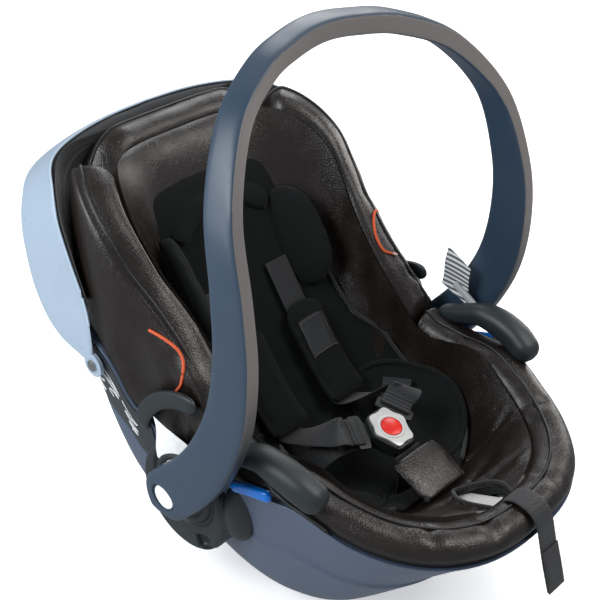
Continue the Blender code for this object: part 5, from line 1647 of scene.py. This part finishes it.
# ---------------------------------------------------------------- adjuster
def make_adjuster():
    axes = adjuster_axes()
    hinge = axes @ Vector((0, -0.0226, 0.0095))
    lever_axes = (axes @ Matrix.Translation((0, 0.0030, 0.0118))
                  @ Matrix.Rotation(math.radians(3), 4, 'X'))
    plate = rounded_outline([(-0.013, -0.026), (0.013, -0.026), (0.013, 0.020), (0.008, 0.026),
                             (-0.008, 0.026), (-0.013, 0.020)], 0.0025)
    lever = outline_solid("adjuster_lever", plate, -0.0015, 0.0015, lever_axes, 0.0008, 3)
    for k in range(4):
        rib = cord_mesh("rib", [lever_axes @ Vector((x, 0.010 + 0.003 * k, 0.0014))
                                for x in (-0.0085, 0.0, 0.0085)], 0.0005, 8, (0, 0, 1))
        cut(lever, rib, 'UNION')
    barrel = turned("barrel", [(-0.0130, 1e-5), (-0.0130, 0.0036), (0.0130, 0.0036),
                               (0.0130, 1e-5)], hinge, 1, 32)
    cut(lever, barrel, 'UNION')
    cut(lever, turned("bore", [(-0.0135, 1e-5), (-0.0135, 0.0019), (0.0135, 0.0019),
                               (0.0135, 1e-5)], hinge, 1, 24))
    piece(lever, "lever", PALE, ["adjuster_lever"], 28)
    route = [(0, -0.2660, 0.2010), (0, -0.2760, 0.2072), (0, -0.2880, 0.2082),
             (0, -0.2990, 0.2050), (0, -0.3080, 0.1960), (0, -0.3150, 0.1780),
             (0, -0.3230, 0.1550), (0, -0.3360, 0.1220)]
    path = smooth_path(route, 10)
    strap = ribbon("adjuster_strap", path, Vector((1, 0, 0)), 0.027, 0.0024, 0.00015, 0.006)
    piece(strap, "root", WEBBING, ["adjuster_strap"], 50)
    tail = path[-16:]
    out = Vector((0, -1, -0.35)).normalized()
    fold = [p + out * (0.0020 + 0.0008 * math.sin(math.pi * k / 15)) for k, p in
            enumerate(tail)]
    piece(ribbon("strap_loop_end", fold, Vector((1, 0, 0)), 0.0275, 0.0022), "root", WEBBING)
    ends = []
    for x0, x1, k0, k1 in ((-1, 1, 3, 3), (1, 1, 3, 12), (1, -1, 12, 12), (-1, -1, 12, 3)):
        for step in range(14):
            t = step / 14
            at = fold[round(k0 + (k1 - k0) * t)]
            ends.append(at + Vector((0.0105 * (x0 + (x1 - x0) * t), 0, 0)) + out * 0.0012)
    stitches("loop_stitch", ends, "root", THREAD_DARK, 0.0026, 0.0019, 0.00035)


make_buckle()
for SIDE, NAME in SIDES:
    make_straps(SIDE, NAME)
make_crotch()
make_adjuster()


# ---------------------------------------------------------------- belt fittings
def make_belt_guide(side, name):
    """A chunky hooked guide: a thin rounded lead into a thick bent body."""
    path = smooth_path([(0.1800, -0.044, 0.2250, 0.0115, 0.0100),
                        (0.1805, -0.060, 0.2305, 0.0132, 0.0125),
                        (0.1808, -0.075, 0.2370, 0.0143, 0.0140),
                        (0.1810, -0.089, 0.2430, 0.0151, 0.0150),
                        (0.1812, -0.104, 0.2445, 0.0158, 0.0152),
                        (0.1805, -0.121, 0.2435, 0.0164, 0.0160),
                        (0.1790, -0.138, 0.2395, 0.0164, 0.0162),
                        (0.1762, -0.152, 0.2340, 0.0158, 0.0156)], 7)
    rings = []
    spots = []
    for k, station in enumerate(path):
        tangent = (Vector(path[min(k + 1, len(path) - 1)][:3])
                   - Vector(path[max(k - 1, 0)][:3])).normalized()
        up = (Vector((0, 0, 1)) - tangent * tangent.z).normalized()
        spots.append((Vector(station[:3]), tangent, tangent.cross(up), up, station[3],
                      station[4]))
    for end, sign in ((0, -1), (-1, 1)):
        place, tangent, across, up, wide, high = spots[end]
        caps = []
        for degrees in (80, 62, 44, 26, 10):
            turn = math.radians(degrees)
            caps.append((place + tangent * sign * 0.016 * math.sin(turn), tangent, across, up,
                         wide * math.cos(turn)**0.8, high * math.cos(turn)**0.8))
        spots = caps + spots if end == 0 else spots + caps[::-1]
    for place, _, across, up, wide, high in spots:
        rings.append(squared(mirrored(place, side), mirrored(across, side),
                             mirrored(up, side), wide, high, 40, 0.80))
    guide = ring_solid("belt_guide_" + name, rings)

    def hooked(point, normal):
        under = math.exp(-((point.y + 0.080) / 0.020)**2) * max(0.0, -normal.z)
        return -0.0045 * under + ripple(point, 30, 0.0004)
    relief(guide, hooked)
    piece(guide, "root", CHARCOAL, ["belt_guide_" + name], 60)
    strip = []
    for y, lift in ((-0.104, 0.0165), (-0.118, 0.0110), (-0.132, 0.0050), (-0.150, 0.0030),
                    (-0.170, 0.0030)):
        place = plan_point(angle_at(y, side), -0.0012)
        strip.append(Vector((place.x, place.y, read_table(SHELL_RIM, y) + lift)))
    trim = cord_mesh("guide_strip_" + name, smooth_path(strip, 8), 0.0022, 12)
    piece(trim, "root", BLACK)


def make_belt_trim(side, name):
    marker = smooth_path([(0.1868, -0.054, 0.1900), (0.1878, -0.072, 0.1990),
                          (0.1885, -0.091, 0.2070), (0.1885, -0.111, 0.2140)], 12)
    rings = []
    for k, (point, _, _, up) in enumerate(frames_along(marker, (0.0, 0.0, 1.0))):
        t = k / (len(marker) - 1)
        ends = math.sqrt(max(0.05, 1 - abs(2 * t - 1)**14))
        rings.append(squared(Vector((side * (point.x + 0.0028), point.y, point.z)),
                             Vector((side, 0, 0)), up, 0.0040 * ends, 0.0062 * ends, 28, 0.55))
    piece(ring_solid("belt_marker_" + name, rings), "root", MARKER, ["belt_marker_" + name])
    arch = smooth_path([(0.1862, 0.090, 0.176), (0.1866, 0.086, 0.198), (0.1862, 0.066, 0.226),
                        (0.1862, 0.035, 0.246), (0.1866, 0.004, 0.254)], 10)
    rings = []
    for k, (point, tangent, _, out) in enumerate(frames_along(arch, (1.0, 0.0, 0.0))):
        t = k / (len(arch) - 1)
        ends = math.sqrt(max(0.08, 1 - abs(2 * t - 1)**12))
        across = tangent.cross(out)
        rings.append(squared(mirrored(point, side), mirrored(across, side),
                             mirrored(out, side), 0.0105 * ends, 0.0038 * ends, 32, 0.55))
    piece(ring_solid("belt_arch_" + name, rings), "root", CHARCOAL, ["belt_arch_" + name],
          45)
    if side > 0:
        bar = smooth_path([(0.1895, -0.037, 0.2590), (0.1900, -0.058, 0.2485),
                           (0.1895, -0.078, 0.2380)], 8)
        rings = [squared(p, Vector((1, 0, 0)), up, 0.0030, 0.0042, 24, 0.6)
                 for p, _, _, up in frames_along(bar, (0.0, 0.0, 1.0))]
        piece(ring_solid("guide_trim_" + name, rings), "root", LIGHT_TRIM)


def make_tag(side, name, corner, along, width, height, finish):
    """A woven label, slightly curled, sewn in by one edge."""
    columns, rows = 24, 36
    along = Vector(along).normalized()
    grid = []
    for i in range(columns + 1):
        line = []
        for k in range(rows + 1):
            u, v = i / columns, k / rows
            sway = 0.0030 * math.sin(2.3 * u + 1.5 * v) * v + 0.0012 * math.sin(7 * v)
            flat = Vector(corner) + along * width * u + Vector((0, 0, height * v))
            line.append(Vector((side * (flat.x + sway), flat.y, flat.z)))
        grid.append(line)
    tag = mesh_object("belt_tag_" + name, open_sheet(grid))
    piece(tag, "root", finish)


for SIDE, NAME in SIDES:
    make_belt_guide(SIDE, NAME)
    make_belt_trim(SIDE, NAME)
make_tag(-1, "left", (0.1905, 0.063, 0.152), (0, -1, -0.25), 0.050, 0.060, TAG_CLOTH)
make_tag(1, "right", (0.1900, -0.018, 0.250), (0, -1, -0.30), 0.040, 0.050, TAG_STRIPED)


# ---------------------------------------------------------------- side panels and back
def panel_point(y, share, side, away):
    return shell_point(angle_at(y, side), share, -away)


def make_side_panel(side, name):
    """A flat trim panel on the flank, with a generic line drawing on it."""
    top, under = [], []
    for i in range(41):
        y = 0.086 + 0.132 * i / 40
        row, low = [], []
        for j in range(25):
            share = 0.60 + 0.37 * j / 24
            edge = max(abs(i / 20 - 1), abs(j / 12 - 1))**10
            row.append(panel_point(y, share, side, 0.0028 - 0.0014 * edge))
            low.append(panel_point(y, share, side, 0.0010))
        top.append(row)
        under.append(low)
    panel = sheet_solid("side_panel_" + name, top, under)
    piece(panel, "root", SHELL_DARK, ["side_panel_" + name], 40)
    for number, (y0, share0, spread, tall, turns, lean) in enumerate(
            ((0.146, 0.84, 0.017, 0.085, 2.2, 0.3), (0.176, 0.74, 0.014, 0.060, 1.6, 1.4),
             (0.118, 0.80, 0.011, 0.075, 2.8, 2.2), (0.196, 0.78, 0.009, 0.055, 1.4, 0.8))):
        path = []
        for k in range(60):
            t = k / 59
            y = y0 + spread * math.sin(2 * math.pi * turns * t + lean) * (0.4 + 0.6 * t)
            share = share0 + tall * (2 * t - 1) + 0.012 * math.sin(5 * t + lean)
            path.append(panel_point(y, share, side, 0.0034))
        piece(cord_mesh("panel_line_%s_%d" % (name, number), path, 0.00060, 6), "root",
              PRINT_WHITE)


def make_back_hook():
    path = smooth_path([(0, 0.2700, 0.268), (0, 0.290, 0.270), (0, 0.304, 0.280),
                        (0, 0.306, 0.300)], 12)
    hook = ribbon("rear_belt_hook", path, Vector((1, 0, 0)), 0.070, 0.0060)
    piece(hook, "root", CHARCOAL, ["rear_belt_hook"], 40)


for SIDE, NAME in SIDES:
    make_side_panel(SIDE, NAME)
make_back_hook()


# ---------------------------------------------------------------- CAD pieces that stay
KEPT = {"base_plate": BLACK, "foot_": RUBBER, "latch_bar": STEEL, "canopy_pin": STEEL,
        "pivot_bush": ACETAL, "lock_gear": STEEL, "lock_spring": STEEL,
        "buckle_spring": STEEL, "adjuster_housing": BLACK, "adjuster_pin": STEEL,
        "adjuster_spring": STEEL}
for NODE, PLACED in NODES.items():
    for PREFIX, FINISH in KEPT.items():
        if NODE.startswith(PREFIX) and NODE != "foot_rim":
            PLACED.data.materials.clear()
            PLACED.data.materials.append(FINISH)

for SIDE, NAME in SIDES:
    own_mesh(NODES["lock_spring_" + NAME])
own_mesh(NODES["buckle_spring"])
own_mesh(NODES["adjuster_spring"])
